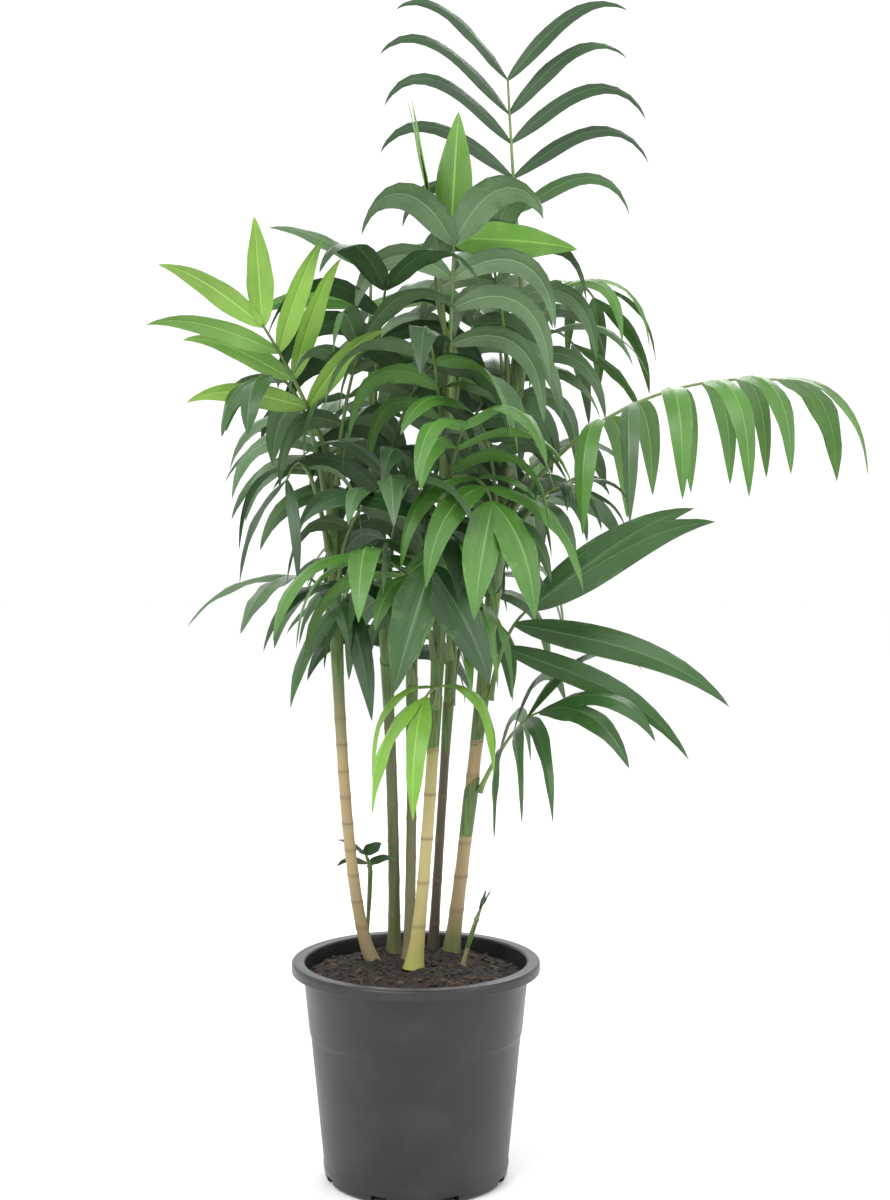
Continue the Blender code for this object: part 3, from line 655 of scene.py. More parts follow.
class PlantColours(bpy.types.PropertyGroup):
    """Colours of the leaves and stalks."""

    spring: bpy.props.FloatVectorProperty(
        name="Spring green", description="The youngest leaves", subtype="COLOR", size=3,
        default=(0.150, 0.330, 0.030))
    fresh: bpy.props.FloatVectorProperty(
        name="Fresh green", description="Young leaves", subtype="COLOR", size=3,
        default=(0.095, 0.240, 0.022))
    grass: bpy.props.FloatVectorProperty(
        name="Grass green", description="Grown leaves", subtype="COLOR", size=3,
        default=(0.055, 0.160, 0.018))
    # Dull leaf green with painted sheen: the greyish cast stands in for light reflected off the leaves, not
    # for a bloom on them.
    painted_sheen_green: bpy.props.FloatVectorProperty(
        name="Painted sheen green", description="Grown leaves with a greyish bloom", subtype="COLOR", size=3,
        default=(0.060, 0.125, 0.045))
    deep: bpy.props.FloatVectorProperty(
        name="Deep green", description="Old leaves", subtype="COLOR", size=3,
        default=(0.026, 0.085, 0.014))
    # Painted shade: the darkest tint stands in for leaves shaded inside the crown.
    shade: bpy.props.FloatVectorProperty(
        name="Shade green", description="The darkest leaves inside the crown", subtype="COLOR", size=3,
        default=(0.014, 0.050, 0.010))
    stalk: bpy.props.FloatVectorProperty(
        name="Stalk", description="Stalks and ribs", subtype="COLOR", size=3, default=(0.120, 0.190, 0.050))


class StageSettings(bpy.types.PropertyGroup):
    """The camera, the light and the floor."""

    camera_place: bpy.props.FloatVectorProperty(
        name="Camera", description="Where the camera stands", subtype="TRANSLATION", size=3, unit="LENGTH",
        default=(0.0246, -1.6, 0.587))
    camera_tilt: bpy.props.FloatProperty(
        name="Tilt", description="How far the camera looks down", subtype="ANGLE",
        default=math.radians(3.5))
    lens: bpy.props.FloatProperty(name="Lens", description="Focal length in millimetres", default=57.45)
    floor: bpy.props.FloatVectorProperty(
        name="Floor", description="Colour of the pale floor", subtype="COLOR", size=3,
        default=(0.86, 0.86, 0.86))
    daylight: bpy.props.FloatProperty(
        name="Daylight", description="Strength of the even light from all round", default=1.15)


def link_piece(name, mesh, slot, *nodes):
    """A finished piece at the origin that rides on the plant and stands for its solids."""
    piece = bpy.data.objects.new(name, mesh)
    bpy.context.scene.collection.objects.link(piece)
    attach(piece, BODY)
    if nodes:
        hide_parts(*nodes)
    return piece


def mesh_from(shape, name, sharp=40.0):
    """The bmesh as a smooth mesh with its hard edges kept."""
    mesh = bpy.data.meshes.new(name)
    shape.to_mesh(mesh)
    shape.free()
    mesh.shade_smooth()
    mesh.set_sharp_from_angle(angle=math.radians(sharp))
    return mesh


class Surface:
    """A material whose nodes are added one at a time."""

    def __init__(self, name, colour, roughness):
        self.material = bpy.data.materials.new(name)
        self.material.use_nodes = True
        self.nodes = self.material.node_tree.nodes
        self.links = self.material.node_tree.links
        self.shader = self.nodes["Principled BSDF"]
        self.shader.inputs["Base Color"].default_value = (*colour, 1.0)
        self.shader.inputs["Roughness"].default_value = roughness

    def add(self, kind, settings=None, **inputs):
        node = self.nodes.new("ShaderNode" + kind)
        for key, value in (settings or {}).items():
            setattr(node, key, value)
        for key, value in inputs.items():
            self.feed(node.inputs[key.replace("_", " ")], value)
        return node

    def feed(self, socket, value):
        """Link a socket's output to this input, or set the input to a plain value."""
        if isinstance(value, bpy.types.NodeSocket):
            self.links.new(value, socket)
        else:
            socket.default_value = value

    def place(self, scale=(1.0, 1.0, 1.0)):
        """Object coordinates, stretched."""
        here = self.add("TexCoord").outputs["Object"]
        return self.add("Mapping", Vector=here, Scale=scale).outputs["Vector"]

    def grain(self, where, scale, detail=3.0):
        return self.add("TexNoise", Vector=where, Scale=scale, Detail=detail).outputs["Fac"]

    def ramp(self, value, stops):
        """A colour or a number from stops of (place, colour)."""
        node = self.add("ValToRGB", Fac=value)
        elements = node.color_ramp.elements
        while len(elements) < len(stops):
            elements.new(1.0)
        for element, (place, colour) in zip(elements, stops):
            element.position = place
            element.color = (*colour, 1.0)
        return node.outputs["Color"]

    def mix(self, share, first, second):
        """One colour turning into the other where share is 1."""
        node = self.add("Mix", {"data_type": "RGBA"})
        for socket, value in zip((node.inputs[0], node.inputs[6], node.inputs[7]), (share, first, second)):
            self.feed(socket, value)
        return node.outputs[2]

    def maths(self, operation, *values):
        node = self.add("Math", {"operation": operation})
        for socket, value in zip(node.inputs, values):
            self.feed(socket, value)
        return node.outputs[0]

    def colour(self, socket):
        self.links.new(socket, self.shader.inputs["Base Color"])

    def roughness(self, socket):
        self.links.new(socket, self.shader.inputs["Roughness"])

    def bump(self, *heights):
        """Each height is a socket, a strength and a distance in metres."""
        normal = None
        for height, strength, distance in heights:
            node = self.add("Bump", Height=height, Strength=strength, Distance=distance)
            if normal is not None:
                self.links.new(normal, node.inputs["Normal"])
            normal = node.outputs["Normal"]
        self.links.new(normal, self.shader.inputs["Normal"])


def grey(value):
    return (value, value, value)


def scaled(colour, factor, more=0.0):
    """A darker or paler colour."""
    return tuple(min(1.0, factor * value + more) for value in colour)


def pot_surface(sizes):
    """Black moulded plastic with a soft sheen and a little dust."""
    surface = Surface("black_pot_plastic", tuple(sizes.plastic), 0.36)
    where = surface.place()
    cloud = surface.grain(where, 22.0, 5.0)
    dust = surface.ramp(cloud, [(0.45, tuple(sizes.plastic)), (0.80, (0.026, 0.025, 0.024))])
    surface.colour(dust)
    surface.roughness(surface.ramp(cloud, [(0.30, grey(0.30)), (0.75, grey(0.46))]))
    grit = surface.grain(where, 900.0, 2.0)
    wave = surface.grain(surface.place((14.0, 14.0, 2.0)), 1.6, 1.0)
    surface.bump((wave, 0.25, 0.002), (grit, 0.10, 0.0002))
    return surface.material


def soil_surface(sizes):
    """Dark potting mix of fine fibre and bark."""
    surface = Surface("dark_potting_mix", tuple(sizes.mix), 0.93)
    where = surface.place()
    lumps = surface.grain(where, 160.0, 6.0)
    dark, pale = scaled(sizes.mix, 0.45), scaled(sizes.mix, 2.6)
    surface.colour(surface.ramp(lumps, [(0.36, dark), (0.55, tuple(sizes.mix)), (0.78, pale)]))
    surface.bump((lumps, 0.9, 0.0022), (surface.grain(where, 700.0, 4.0), 0.6, 0.0006))
    return surface.material


def crumb_surface(name, colour):
    """A chip of bark or a crumb of mix."""
    surface = Surface(name, colour, 0.88)
    where = surface.place()
    fibre = surface.grain(where, 420.0, 5.0)
    dark, pale = scaled(colour, 0.5), scaled(colour, 1.7)
    surface.colour(surface.ramp(fibre, [(0.35, dark), (0.70, pale)]))
    surface.bump((fibre, 0.7, 0.0008))
    return surface.material


def leaf_surface(name, colour, under=False):
    """A leaf blade with fine lengthwise veins and a paler midrib."""
    surface = Surface(name, colour, 0.46 if under else 0.36)
    uv = surface.add("UVMap", {"uv_map": "blade"}).outputs["UV"]
    across = surface.add("SeparateXYZ", Vector=uv).outputs["X"]
    veins = surface.add(
        "TexWave", {"wave_type": "BANDS", "bands_direction": "X", "wave_profile": "SIN"},
        Vector=uv, Scale=5.5, Distortion=0.6, Detail=1.0).outputs["Fac"]
    reach = surface.maths("ABSOLUTE", surface.maths("SUBTRACT", across, 0.5))
    midrib = surface.ramp(reach, [(0.012, grey(1.0)), (0.035, grey(0.0))])
    cloud = surface.grain(surface.place(), 16.0, 3.0)
    blade = surface.ramp(cloud, [(0.34, scaled(colour, 0.78)), (0.66, scaled(colour, 1.22, 0.004))])
    lines = surface.ramp(veins, [(0.55, grey(0.0)), (1.0, grey(0.28))])
    streaked = surface.mix(lines, blade, (*scaled(colour, 1.5, 0.01), 1.0))
    surface.colour(surface.mix(midrib, streaked, (*scaled(colour, 1.7, 0.03), 1.0)))
    surface.bump((veins, 0.30, 0.0004), (cloud, 0.10, 0.002))
    return surface.material


def stalk_surface(colours):
    """Smooth green stalk with fine lengthwise streaks."""
    surface = Surface("green_stalk", tuple(colours.stalk), 0.42)
    cloud = surface.grain(surface.place(), 30.0, 3.0)
    dark, pale = scaled(colours.stalk, 0.6), scaled(colours.stalk, 1.3)
    surface.colour(surface.ramp(cloud, [(0.35, dark), (0.68, pale)]))
    surface.bump((surface.grain(surface.place((1.0, 1.0, 0.1)), 500.0, 3.0), 0.3, 0.0004))
    return surface.material


def cane_surface(name, look):
    """A stem whose colour changes up its height, with leaf scars and lengthwise fibres."""
    surface = Surface(name, look.low, 0.55)
    height = surface.add("Attribute", {"attribute_name": "climb"}).outputs["Fac"]
    scar = surface.add("Attribute", {"attribute_name": "scar"}).outputs["Fac"]
    cloud = surface.grain(surface.place((1.0, 1.0, 0.25)), 60.0, 4.0)
    uneven = surface.add("MapRange", Value=cloud, To_Min=-0.06, To_Max=0.06).outputs[0]
    climb = surface.maths("ADD", height, uneven)
    stops = [(0.0, look.foot), (0.10, look.low), (look.turn, look.low), (look.turn + 0.16, look.high)]
    patches = surface.ramp(cloud, [(0.42, grey(0.0)), (0.72, grey(0.55))])
    mottled = surface.mix(patches, surface.ramp(climb, stops), (*look.mottle, 1.0))
    surface.colour(surface.mix(scar, mottled, (*look.scar, 1.0)))
    fibres = surface.grain(surface.place((1.0, 1.0, 0.06)), 700.0, 4.0)
    surface.roughness(surface.ramp(cloud, [(0.3, grey(0.42)), (0.8, grey(0.66))]))
    surface.bump((fibres, 0.45, 0.0005), (cloud, 0.25, 0.001))
    return surface.material


def sheath_surface(name, colour):
    """A leaf's clasping base: green, streaked, and dry along its mouth."""
    surface = Surface(name, colour, 0.5)
    dry = surface.add("Attribute", {"attribute_name": "dry"}).outputs["Fac"]
    fibres = surface.grain(surface.place((1.0, 1.0, 0.07)), 520.0, 4.0)
    green = surface.ramp(fibres, [(0.35, scaled(colour, 0.62)), (0.68, scaled(colour, 1.35))])
    surface.colour(surface.mix(dry, green, (0.170, 0.110, 0.045, 1.0)))
    surface.bump((fibres, 0.5, 0.0006))
    return surface.material


def wall_radius(sizes, height):
    """The outside of the pot's wall, which widens evenly to the shoulder under the lip."""
    share = height / (sizes.height - LIP_DROP)
    return sizes.base_radius + (sizes.shoulder_radius - sizes.base_radius) * share


def arc(middle, radius, first, last, steps):
    """Points of an arc in the profile's plane. Angles are in degrees."""
    points = []
    for k in range(steps + 1):
        angle = math.radians(first + (last - first) * k / steps)
        points.append((middle[0] + radius * math.cos(angle), middle[1] + radius * math.sin(angle)))
    return points


def pot_profile(sizes):
    """From the middle of the floor, up the inner wall, over the lip and down to the underside."""
    top, rim, wall = sizes.height, sizes.rim_radius, sizes.wall
    inside, soft = sizes.shoulder_radius - wall, 0.0025
    ledge, bead, foot = 0.122, 0.012, 0.004
    return [
        (0.0, 0.008),
        (wall_radius(sizes, 0.008) - wall - 0.003, 0.008),
        *arc((wall_radius(sizes, 0.008) - wall - 0.003, 0.011), 0.003, -90, 0, 4)[1:],
        *arc((inside + soft, top - soft), soft, 180, 90, 6),
        *arc((rim - soft, top - soft), soft, 90, 0, 6),
        *arc((rim - 0.0009, top - LIP_DROP + 0.0009), 0.0009, 0, -180, 6),
        *arc((rim - wall - 0.001, top - soft - wall - 0.001), 0.001, 0, 90, 3),
        *arc((sizes.shoulder_radius + 0.0008, top - soft - wall - 0.0008), 0.0008, 90, 180, 3),
        (wall_radius(sizes, ledge + 0.0030), ledge + 0.0030),
        (wall_radius(sizes, ledge + 0.0022) - 0.0001, ledge + 0.0022),
        (wall_radius(sizes, ledge + 0.0008) - 0.0006, ledge + 0.0008),
        (wall_radius(sizes, ledge) - 0.0008, ledge),
        (wall_radius(sizes, ledge - 0.004) - 0.0008, ledge - 0.004),
        (wall_radius(sizes, bead + 0.004), bead + 0.004),
        (wall_radius(sizes, bead + 0.0024) + 0.0001, bead + 0.0024),
        (wall_radius(sizes, bead + 0.0008) + 0.0006, bead + 0.0008),
        (wall_radius(sizes, bead - 0.001) + 0.0007, bead - 0.001),
        *arc((sizes.base_radius - foot + 0.0007, foot), foot, 0, -90, 6),
        (0.0, 0.0),
    ]


def turned(profile, steps):
    """A bmesh of the profile spun round the upright axis."""
    shape = bmesh.new()
    verts = [shape.verts.new((radius, 0.0, height)) for radius, height in profile]
    edges = [shape.edges.new(pair) for pair in zip(verts, verts[1:])]
    bmesh.ops.spin(
        shape, geom=verts + edges, cent=(0.0, 0.0, 0.0), axis=UP, dvec=(0.0, 0.0, 0.0),
        angle=math.tau, steps=steps, use_merge=True)
    bmesh.ops.remove_doubles(shape, verts=shape.verts, dist=0.000001)
    bmesh.ops.recalc_face_normals(shape, faces=shape.faces)
    return shape


def notched(mesh, radius):
    """The mesh with drain notches cut into its foot."""
    shape = bmesh.new()
    for k in range(DRAIN_COUNT):
        angle = math.tau * (k + 0.5) / DRAIN_COUNT
        block = bmesh.ops.create_cube(shape, size=1.0)["verts"]
        bmesh.ops.scale(shape, vec=(3 * DRAIN_REACH, DRAIN_WIDTH, 2 * DRAIN_RISE), verts=block)
        bmesh.ops.translate(shape, vec=(radius + DRAIN_REACH / 2, 0.0, 0.0), verts=block)
        turn = Matrix.Rotation(angle, 3, UP)
        bmesh.ops.rotate(shape, cent=(0.0, 0.0, 0.0), matrix=turn, verts=block)
    upright = [edge for edge in shape.edges if all(vert.co.z > 0 for vert in edge.verts)]
    bmesh.ops.bevel(
        shape, geom=upright, offset=DRAIN_ROUNDING, offset_type="OFFSET", affect="EDGES", segments=3,
        profile=0.5, material=-1)
    blocks = bpy.data.meshes.new("drain_blocks")
    shape.to_mesh(blocks)
    shape.free()
    holder = bpy.data.objects.new("drain_blocks", blocks)
    body = bpy.data.objects.new("pot_body", mesh)
    for obj in (holder, body):
        bpy.context.scene.collection.objects.link(obj)
    cut = body.modifiers.new("drains", "BOOLEAN")
    cut.operation = "DIFFERENCE"
    cut.object = holder
    graph = bpy.context.evaluated_depsgraph_get()
    result = bpy.data.meshes.new_from_object(body.evaluated_get(graph))
    for obj in (holder, body):
        bpy.data.objects.remove(obj)
    return result


class BAMBOO_PALM_OT_pot(bpy.types.Operator):
    """Turn the nursery pot and cut its drain notches"""

    bl_idname = "bamboo_palm.pot"
    bl_label = "Build Pot"

    def execute(self, context):
        sizes = context.scene.bamboo_palm_pot
        mesh = mesh_from(turned(pot_profile(sizes), TURNED_STEPS), "nursery_pot")
        mesh = notched(mesh, sizes.base_radius)
        mesh.shade_smooth()
        mesh.set_sharp_from_angle(angle=math.radians(38))
        mesh.materials.clear()
        mesh.materials.append(pot_surface(sizes))
        link_piece("nursery_pot", mesh, "pot_plastic", "pot")
        return {"FINISHED"}


def soil_height(x, y):
    """How the surface of the mix swells and crumbles."""
    swell = 0.0030 * noise.noise(Vector((x, y, 0.0)) * 22.0)
    lumps = 0.0026 * noise.fractal(Vector((x, y, 0.3)) * 95.0, 0.7, 2.1, 4)
    edge = max(0.0, math.hypot(x, y) / 0.0925 - 0.80) / 0.20
    return SOIL_LEVEL + 0.0002 + swell + lumps - 0.0055 * edge**1.5


def soil_mesh(radius):
    """A lumpy disc with a skirt, closed underneath."""
    shape = bmesh.new()
    bmesh.ops.create_grid(shape, x_segments=MIX_CELLS, y_segments=MIX_CELLS, size=1.0)
    for vert in shape.verts:
        x, y = vert.co.x, vert.co.y
        vert.co.x = radius * x * math.sqrt(1 - y * y / 2)
        vert.co.y = radius * y * math.sqrt(1 - x * x / 2)
        vert.co.z = soil_height(vert.co.x, vert.co.y)
    rim = [edge for edge in shape.edges if edge.is_boundary]
    skirt = bmesh.ops.extrude_edge_only(shape, edges=rim)["geom"]
    low = [item for item in skirt if isinstance(item, bmesh.types.BMVert)]
    for vert in low:
        vert.co.z = SOIL_LEVEL - MIX_DEPTH
        vert.co.x *= MIX_DRAFT
        vert.co.y *= MIX_DRAFT
    bmesh.ops.holes_fill(shape, edges=[edge for edge in shape.edges if edge.is_boundary])
    bmesh.ops.recalc_face_normals(shape, faces=shape.faces)
    return mesh_from(shape, "potting_mix", 60.0)


def crumbs_mesh(name, count, least, most, flat, seed):
    """Chips that lie on the mix, clear of the canes."""
    rng = random.Random(seed)
    shape = bmesh.new()
    feet = [(cane.foot, cane.radius * 1.6) for cane in CANES.values()]
    made = 0
    while made < count:
        angle, reach = rng.uniform(0, math.tau), CHIP_REACH * math.sqrt(rng.random())
        x, y = reach * math.cos(angle), reach * math.sin(angle)
        size = least + (most - least) * rng.random() ** 2
        if any(math.hypot(x - foot[0], y - foot[1]) < room + size for foot, room in feet):
            continue
        chip = bmesh.ops.create_icosphere(shape, subdivisions=1, radius=size)["verts"]
        for vert in chip:
            vert.co *= rng.uniform(0.75, 1.2)
        bmesh.ops.scale(shape, vec=(rng.uniform(0.7, 1.5), rng.uniform(0.6, 1.0), flat), verts=chip)
        turn = Matrix.Rotation(rng.uniform(0, math.tau), 3, UP)
        turn = turn @ Matrix.Rotation(rng.uniform(-0.5, 0.5), 3, "X")
        bmesh.ops.rotate(shape, cent=(0.0, 0.0, 0.0), matrix=turn, verts=chip)
        bmesh.ops.translate(shape, vec=(x, y, soil_height(x, y) + size * flat * CHIP_SINK), verts=chip)
        made += 1
    bmesh.ops.recalc_face_normals(shape, faces=shape.faces)
    return mesh_from(shape, name, 35.0)


class BAMBOO_PALM_OT_soil(bpy.types.Operator):
    """Fill the pot with lumpy potting mix and scatter bark on it"""

    bl_idname = "bamboo_palm.soil"
    bl_label = "Build Soil"

    def execute(self, context):
        sizes = context.scene.bamboo_palm_pot
        mesh = soil_mesh(MIX_RADIUS)
        mesh.materials.append(soil_surface(sizes))
        link_piece("potting_mix", mesh, "potting_mix", "soil")
        for name, count, least, most, flat, colour in CRUMBS:
            chips = crumbs_mesh(name, count, least, most, flat, len(name))
            chips.materials.append(crumb_surface(name, colour))
            link_piece(name, chips, "potting_mix")
        return {"FINISHED"}


def limb(sides, rows, place):
    """A closed round limb whose point at each share of its length and angle is told by place."""
    shape = bmesh.new()
    bmesh.ops.create_cone(shape, cap_ends=True, segments=sides, radius1=1.0, radius2=1.0, depth=1.0)
    upright = [edge for edge in shape.edges if abs(edge.verts[0].co.z - edge.verts[1].co.z) > 0.5]
    bmesh.ops.subdivide_edges(shape, edges=upright, cuts=rows - 1, use_grid_fill=True)
    for vert in shape.verts:
        share = min(1.0, max(0.0, vert.co.z + 0.5))
        vert.co = place(share, math.atan2(vert.co.y, vert.co.x))
    bmesh.ops.recalc_face_normals(shape, faces=shape.faces)
    return shape


def gathered(name, limbs, sharp):
    """Several limbs as one mesh."""
    whole = bmesh.new()
    for shape in limbs:
        held = bpy.data.meshes.new("limb")
        shape.to_mesh(held)
        shape.free()
        whole.from_mesh(held)
        bpy.data.meshes.remove(held)
    return mesh_from(whole, name, sharp)


def ring_shares(cane):
    """Scars on the bare part, where the source has its rings, and closer ones between them."""
    gaps = max(1, cane.rings - 1)
    main = [RING_LOWEST + (RING_HIGHEST - RING_LOWEST) * k / gaps for k in range(cane.rings)]
    between = [(low + high) / 2 for low, high in zip(main, main[1:])]
    return sorted(main + between + [RING_HIGHEST + 0.5 * k / 4 for k in range(1, 4)])


def cane_surface_radius(cane, share, rings, length):
    """The cane's radius with a lip at each scar."""
    lip = 0.0
    for ring in rings:
        away = (share - ring) * length
        edge, swell = math.exp(-((away / 0.0013) ** 2)), math.exp(-((away / 0.006) ** 2))
        lip = max(lip, 0.085 * edge, 0.035 * swell)
    return cane_radius(cane, share) + cane.radius * lip


def cane_mesh(name, cane):
    """A ringed stem, finely uneven, on a flat foot."""
    length = cane.top[2] - SOIL_LEVEL
    rings = ring_shares(cane)
    rows = int(length / 0.0018)

    def place(share, angle):
        middle = cane_point(cane, share)
        side = Vector((math.cos(angle), math.sin(angle), 0.0))
        radius = cane_surface_radius(cane, share, rings, length)
        rough = noise.noise(Vector((side.x * 1.4, side.y * 1.4, share * length * 60.0))) * 0.025
        return middle + side * radius * (1.0 + rough)

    mesh = mesh_from(limb(28, rows, place), name, 60.0)
    base = SOIL_LEVEL + GAP
    climb = mesh.attributes.new("climb", "FLOAT", "POINT")
    scar = mesh.attributes.new("scar", "FLOAT", "POINT")
    for k, vert in enumerate(mesh.vertices):
        share = (vert.co.z - base) / (cane.top[2] - base)
        near = min(abs(share - ring) for ring in rings) * length
        climb.data[k].value = share
        scar.data[k].value = 0.75 * math.exp(-((near / 0.0011) ** 2))
    return mesh


class BAMBOO_PALM_OT_canes(bpy.types.Operator):
    """Grow the ringed canes"""

    bl_idname = "bamboo_palm.canes"
    bl_label = "Build Canes"

    def execute(self, context):
        for name, cane in CANES.items():
            mesh = cane_mesh("stem_" + name, cane)
            mesh.materials.append(cane_surface("stem_" + name, CANE_LOOKS[name]))
            link_piece("stem_" + name, mesh, "cane_bark", "cane_" + name)
        return {"FINISHED"}


def sheath_limb(frond, frames):
    """The tube by which a leaf clasps its cane, its mouth drawn up towards the stalk."""
    cane = CANES[frond.cane]
    top = 1.0 if frond.height == TOP else cane_share_at(cane, frond.height)
    length = min(SHEATH_LENGTH, 0.6 * (cane.top[2] - SOIL_LEVEL) * top)
    low = max(0.02, top - length / (cane.top[2] - SOIL_LEVEL))
    away = frames[4].point - cane_point(cane, top)
    heading = math.atan2(away.y, away.x)

    def place(share, angle):
        climb = low + (min(1.0, top + 0.012) - low) * share
        middle = cane_point(cane, climb)
        towards = math.cos(angle - heading)
        side = Vector((math.cos(angle), math.sin(angle), 0.0))
        swell = 1.03 + 0.16 * share + 0.10 * share**3 * max(0.0, towards)
        lift = UP * (0.006 * share**4 * towards)
        return middle + side * (cane_radius(cane, climb) * swell) + lift

    return limb(20, 14, place)


def stalk_limb(frames):
    """The stalk and rib, swollen where it leaves its sheath and grooved along its upper side."""

    def place(share, angle):
        frame_here = frame_between(frames, share)
        radius = stalk_radius(share) * (1.0 + 0.45 * math.exp(-share / 0.05))
        spoke = frame_here.side * math.cos(angle) + frame_here.normal * math.sin(angle)
        groove = 1.0 - 0.22 * max(0.0, math.sin(angle)) ** 3
        return frame_here.point + spoke * radius * groove

    return limb(8, 26, place)


def frame_between(frames, share):
    """The frame at any share of the rib."""
    spot = share * (len(frames) - 1)
    low = min(int(spot), len(frames) - 2)
    first, second, rest = frames[low], frames[low + 1], spot - low
    return Frame(
        first.point.lerp(second.point, rest), first.way.lerp(second.way, rest),
        first.side.lerp(second.side, rest), first.normal.lerp(second.normal, rest))


class BAMBOO_PALM_OT_stalks(bpy.types.Operator):
    """Grow the leaf sheaths, the stalks and the ribs"""

    bl_idname = "bamboo_palm.stalks"
    bl_label = "Build Stalks"

    def execute(self, context):
        colours = context.scene.bamboo_palm_colours
        sheaths, dry = [], []
        for frond, frames, _ in CROWN.values():
            sheath = sheath_limb(frond, frames)
            mouth = max(vert.co.z for vert in sheath.verts)
            dry += [0.8 * max(0.0, 1.0 - (mouth - vert.co.z) / 0.006) for vert in sheath.verts]
            sheaths.append(sheath)
        mesh = gathered("leaf_sheaths", sheaths, 50.0)
        mesh.attributes.new("dry", "FLOAT", "POINT").data.foreach_set("value", dry)
        mesh.materials.append(sheath_surface("leaf_sheaths", (0.085, 0.150, 0.035)))
        link_piece("leaf_sheaths", mesh, "cane_bark")
        mesh = gathered("leaf_stalks", [stalk_limb(frames) for _, frames, _ in CROWN.values()], 50.0)
        mesh.materials.append(stalk_surface(colours))
        nodes = ["frond_" + name for name in CROWN]
        link_piece("leaf_stalks", mesh, "leaf_mid", *nodes)
        return {"FINISHED"}


def blade_outline(share):
    """Half the width of a leaflet, as a share of its widest half: lance-shaped with a long tip."""
    body = np.sin(np.pi * share**0.70)
    body = np.maximum(body, 0.0) ** 0.85
    return np.maximum(body, LEAF_FOOT_WIDTH * (1.0 - share) ** 2)


def blade_template():
    """Faces of one blade, its flat map, and which faces are on the underside."""
    rows, columns = len(BLADE_ROWS) - 1, BLADE_COLUMNS
    ring = 2 * columns - 2
    faces, under, flat = [], [], []
    for row in range(rows - 1):
        for k in range(ring):
            a, b = row * ring + k, row * ring + (k + 1) % ring
            faces.append((a, b, b + ring, a + ring))
            under.append(k >= columns - 1)
    last = (rows - 1) * ring
    for k in range(ring):
        faces.append((last + k, last + (k + 1) % ring, rows * ring, rows * ring))
        under.append(k >= columns - 1)
    spots = list(range(columns)) + list(range(columns - 2, 0, -1))
    for row in range(rows):
        flat += [(spot / (columns - 1), BLADE_ROWS[row] / LEAF_STEPS) for spot in spots]
    flat.append((0.5, 1.0))
    return np.array(faces), np.array(under), np.array(flat)


def blade_points(leaflet, rng):
    """The points of one blade: folded along its midrib, lightly pleated and rippled."""
    rows = np.array(BLADE_ROWS[:-1])
    share = rows / LEAF_STEPS
    points = np.array([leaflet.points[k] for k in rows])
    across = np.array([leaflet.across[k] for k in rows])
    normals = np.array([leaflet.normals[k] for k in rows])
    half = blade_outline(share) * leaflet.width / 2
    v = np.linspace(1.0, -1.0, BLADE_COLUMNS)
    fold = rng.uniform(0.16, 0.30)
    phase, waves = rng.uniform(0, math.tau), rng.uniform(1.5, 3.5)
    ripple = 0.10 * np.sin(waves * math.tau * share + phase)
    lift = fold * (1.0 - np.abs(v)) + 0.05 * np.cos(3 * math.pi * v) * (1.0 - np.abs(v))
    height = half[:, None] * (lift[None, :] + ripple[:, None] * v[None, :] * np.abs(v)[None, :])
    thick = BLADE_THICKNESS * (1.0 - v[None, :] ** 2) * np.ones_like(half)[:, None]
    spread = half[:, None] * v[None, :]
    flat = points[:, None] + across[:, None] * spread[..., None]
    top = flat + normals[:, None] * (height + thick)[..., None]
    low = flat + normals[:, None] * (height - thick)[..., None]
    ring = np.concatenate([top, low[:, -2:0:-1]], axis=1).reshape(-1, 3)
    return np.concatenate([ring, np.array([leaflet.points[LEAF_STEPS]])])


def foliage_mesh(name, leaflets, seed):
    """All blades of one tint, joined."""
    faces, under, flat = blade_template()
    rng = random.Random(seed)
    points = [blade_points(leaflet, rng) for leaflet in leaflets]
    size = len(points[0])
    corners = [row if row[2] != row[3] else row[:3] for row in faces.tolist()]
    every = [[c + size * k for c in row] for k in range(len(points)) for row in corners]
    ring = 2 * BLADE_COLUMNS - 2
    every += [[size * k + c for c in reversed(range(ring))] for k in range(len(points))]
    mesh = bpy.data.meshes.new(name)
    mesh.from_pydata(np.concatenate(points), [], every)
    sides = np.concatenate([np.tile(under, len(points)), np.zeros(len(points), bool)])
    mesh.polygons.foreach_set("material_index", sides.astype(np.int32))
    uv = mesh.uv_layers.new(name="blade")
    corner_verts = np.empty(len(mesh.loops), np.int32)
    mesh.loops.foreach_get("vertex_index", corner_verts)
    uv.data.foreach_set("uv", flat[corner_verts % size].astype(np.float32).ravel())
    mesh.update()
    mesh.shade_smooth()
    mesh.set_sharp_from_angle(angle=math.radians(70))
    return mesh


class BAMBOO_PALM_OT_leaves(bpy.types.Operator):
    """Grow the leaflets, joined by tint"""

    bl_idname = "bamboo_palm.leaves"
    bl_label = "Build Leaves"

    def execute(self, context):
        colours = context.scene.bamboo_palm_colours
        rng = random.Random(5)
        dealt = {tint: [] for _, tint, _ in TINTS}
        for frond, _, leaflets in CROWN.values():
            choices = [tint for tone, tint, _ in TINTS if tone == frond.tone]
            tint = rng.choice(choices)
            for leaflet in leaflets:
                dealt[rng.choice(choices) if rng.random() < 0.15 else tint].append(leaflet)
        for seed, (tone, tint, under_tint) in enumerate(TINTS):
            if not dealt[tint]:
                continue
            mesh = foliage_mesh("leaves_" + tint, dealt[tint], seed)
            upper = tuple(getattr(colours, tint))
            under = tuple(0.75 * value + 0.25 * other for value, other in zip(upper, under_tint))
            mesh.materials.append(leaf_surface("leaf_" + tint, upper))
            mesh.materials.append(leaf_surface("leaf_" + tint + "_under", under, under=True))
            link_piece("leaves_" + tint, mesh, tone)
        return {"FINISHED"}


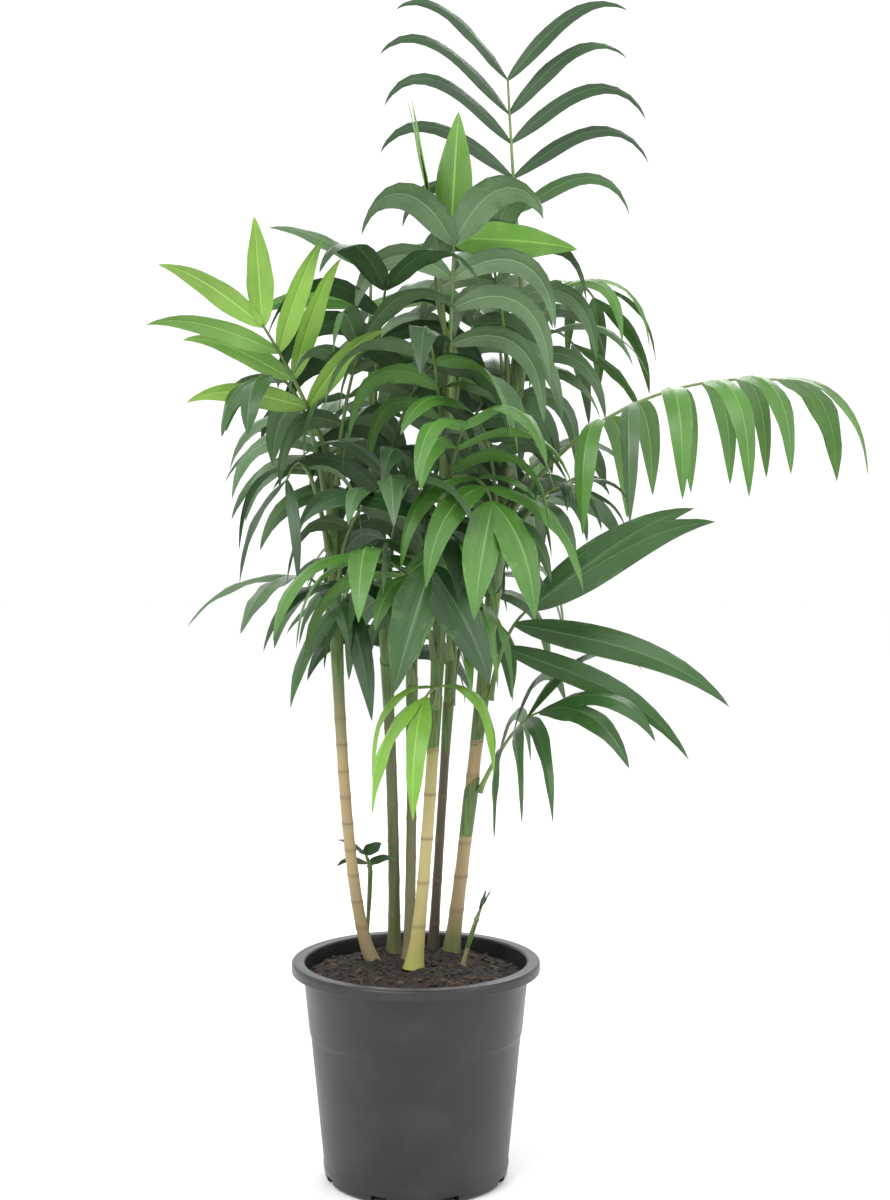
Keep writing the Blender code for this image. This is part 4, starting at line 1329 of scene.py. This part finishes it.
def add_light(name, place, aim, size, power):
    data = bpy.data.lights.new(name, "AREA")
    data.shape = "RECTANGLE"
    data.size, data.size_y = size
    data.energy = power
    lamp = bpy.data.objects.new(name, data)
    bpy.context.scene.collection.objects.link(lamp)
    lamp.location = place
    lamp.rotation_euler = (Vector(aim) - Vector(place)).to_track_quat("-Z", "Y").to_euler()


class BAMBOO_PALM_OT_stage(bpy.types.Operator):
    """Set the camera, the soft studio light and the pale floor"""

    bl_idname = "bamboo_palm.stage"
    bl_label = "Set Stage"

    def execute(self, context):
        stage = context.scene.bamboo_palm_stage
        data = bpy.data.cameras.new("camera")
        data.lens = stage.lens
        camera = bpy.data.objects.new("camera", data)
        context.scene.collection.objects.link(camera)
        camera.location = stage.camera_place
        camera.rotation_euler = (math.pi / 2 - stage.camera_tilt, 0.0, 0.0)
        context.scene.camera = camera
        shape = bmesh.new()
        bmesh.ops.create_grid(shape, x_segments=1, y_segments=1, size=8.0)
        bmesh.ops.translate(shape, vec=(0.0, 0.0, -0.0005), verts=shape.verts)
        mesh = bpy.data.meshes.new("floor")
        shape.to_mesh(mesh)
        shape.free()
        mesh.materials.append(Surface("pale_floor", tuple(stage.floor), 0.8).material)
        floor = bpy.data.objects.new("floor", mesh)
        context.scene.collection.objects.link(floor)
        world = bpy.data.worlds.new("daylight")
        world.use_nodes = True
        backdrop = world.node_tree.nodes["Background"]
        backdrop.inputs["Color"].default_value = (1.0, 1.0, 1.0, 1.0)
        backdrop.inputs["Strength"].default_value = stage.daylight
        context.scene.world = world
        context.scene.view_settings.view_transform = "Standard"
        add_light("key", (-1.3, -1.7, 2.3), (0.0, 0.0, 0.5), (1.4, 1.4), 46.0)
        add_light("fill", (1.9, -1.2, 1.3), (0.0, 0.0, 0.5), (1.2, 1.8), 16.0)
        add_light("back", (0.4, 1.9, 2.0), (0.0, 0.0, 0.6), (1.6, 1.2), 26.0)
        return {"FINISHED"}


class BAMBOO_PALM_PT_panel(bpy.types.Panel):
    """Sizes, colours and steps of the bamboo palm"""

    bl_idname = "BAMBOO_PALM_PT_panel"
    bl_label = "Bamboo Palm"
    bl_space_type = "VIEW_3D"
    bl_region_type = "UI"
    bl_category = "Bamboo Palm"

    def draw(self, context):
        for group in ("bamboo_palm_pot", "bamboo_palm_colours", "bamboo_palm_stage"):
            settings = getattr(context.scene, group)
            box = self.layout.box()
            for key in settings.__annotations__:
                box.prop(settings, key)
        for operator in OPERATORS:
            self.layout.operator(operator.bl_idname)


OPERATORS = (
    BAMBOO_PALM_OT_stage,
    BAMBOO_PALM_OT_pot,
    BAMBOO_PALM_OT_soil,
    BAMBOO_PALM_OT_canes,
    BAMBOO_PALM_OT_stalks,
    BAMBOO_PALM_OT_leaves,
)
SETTINGS = {
    "bamboo_palm_pot": PotSizes,
    "bamboo_palm_colours": PlantColours,
    "bamboo_palm_stage": StageSettings,
}


def register():
    for kind in (*SETTINGS.values(), *OPERATORS, BAMBOO_PALM_PT_panel):
        bpy.utils.register_class(kind)
    for name, kind in SETTINGS.items():
        setattr(bpy.types.Scene, name, bpy.props.PointerProperty(type=kind))


def unregister():
    for name in SETTINGS:
        delattr(bpy.types.Scene, name)
    for kind in (BAMBOO_PALM_PT_panel, *reversed(OPERATORS), *SETTINGS.values()):
        bpy.utils.unregister_class(kind)


def main():
    register()
    bpy.ops.bamboo_palm.stage()
    bpy.ops.bamboo_palm.pot()
    bpy.ops.bamboo_palm.soil()
    bpy.ops.bamboo_palm.canes()
    bpy.ops.bamboo_palm.stalks()
    bpy.ops.bamboo_palm.leaves()
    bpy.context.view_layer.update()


if __name__ == "__main__":
    main()
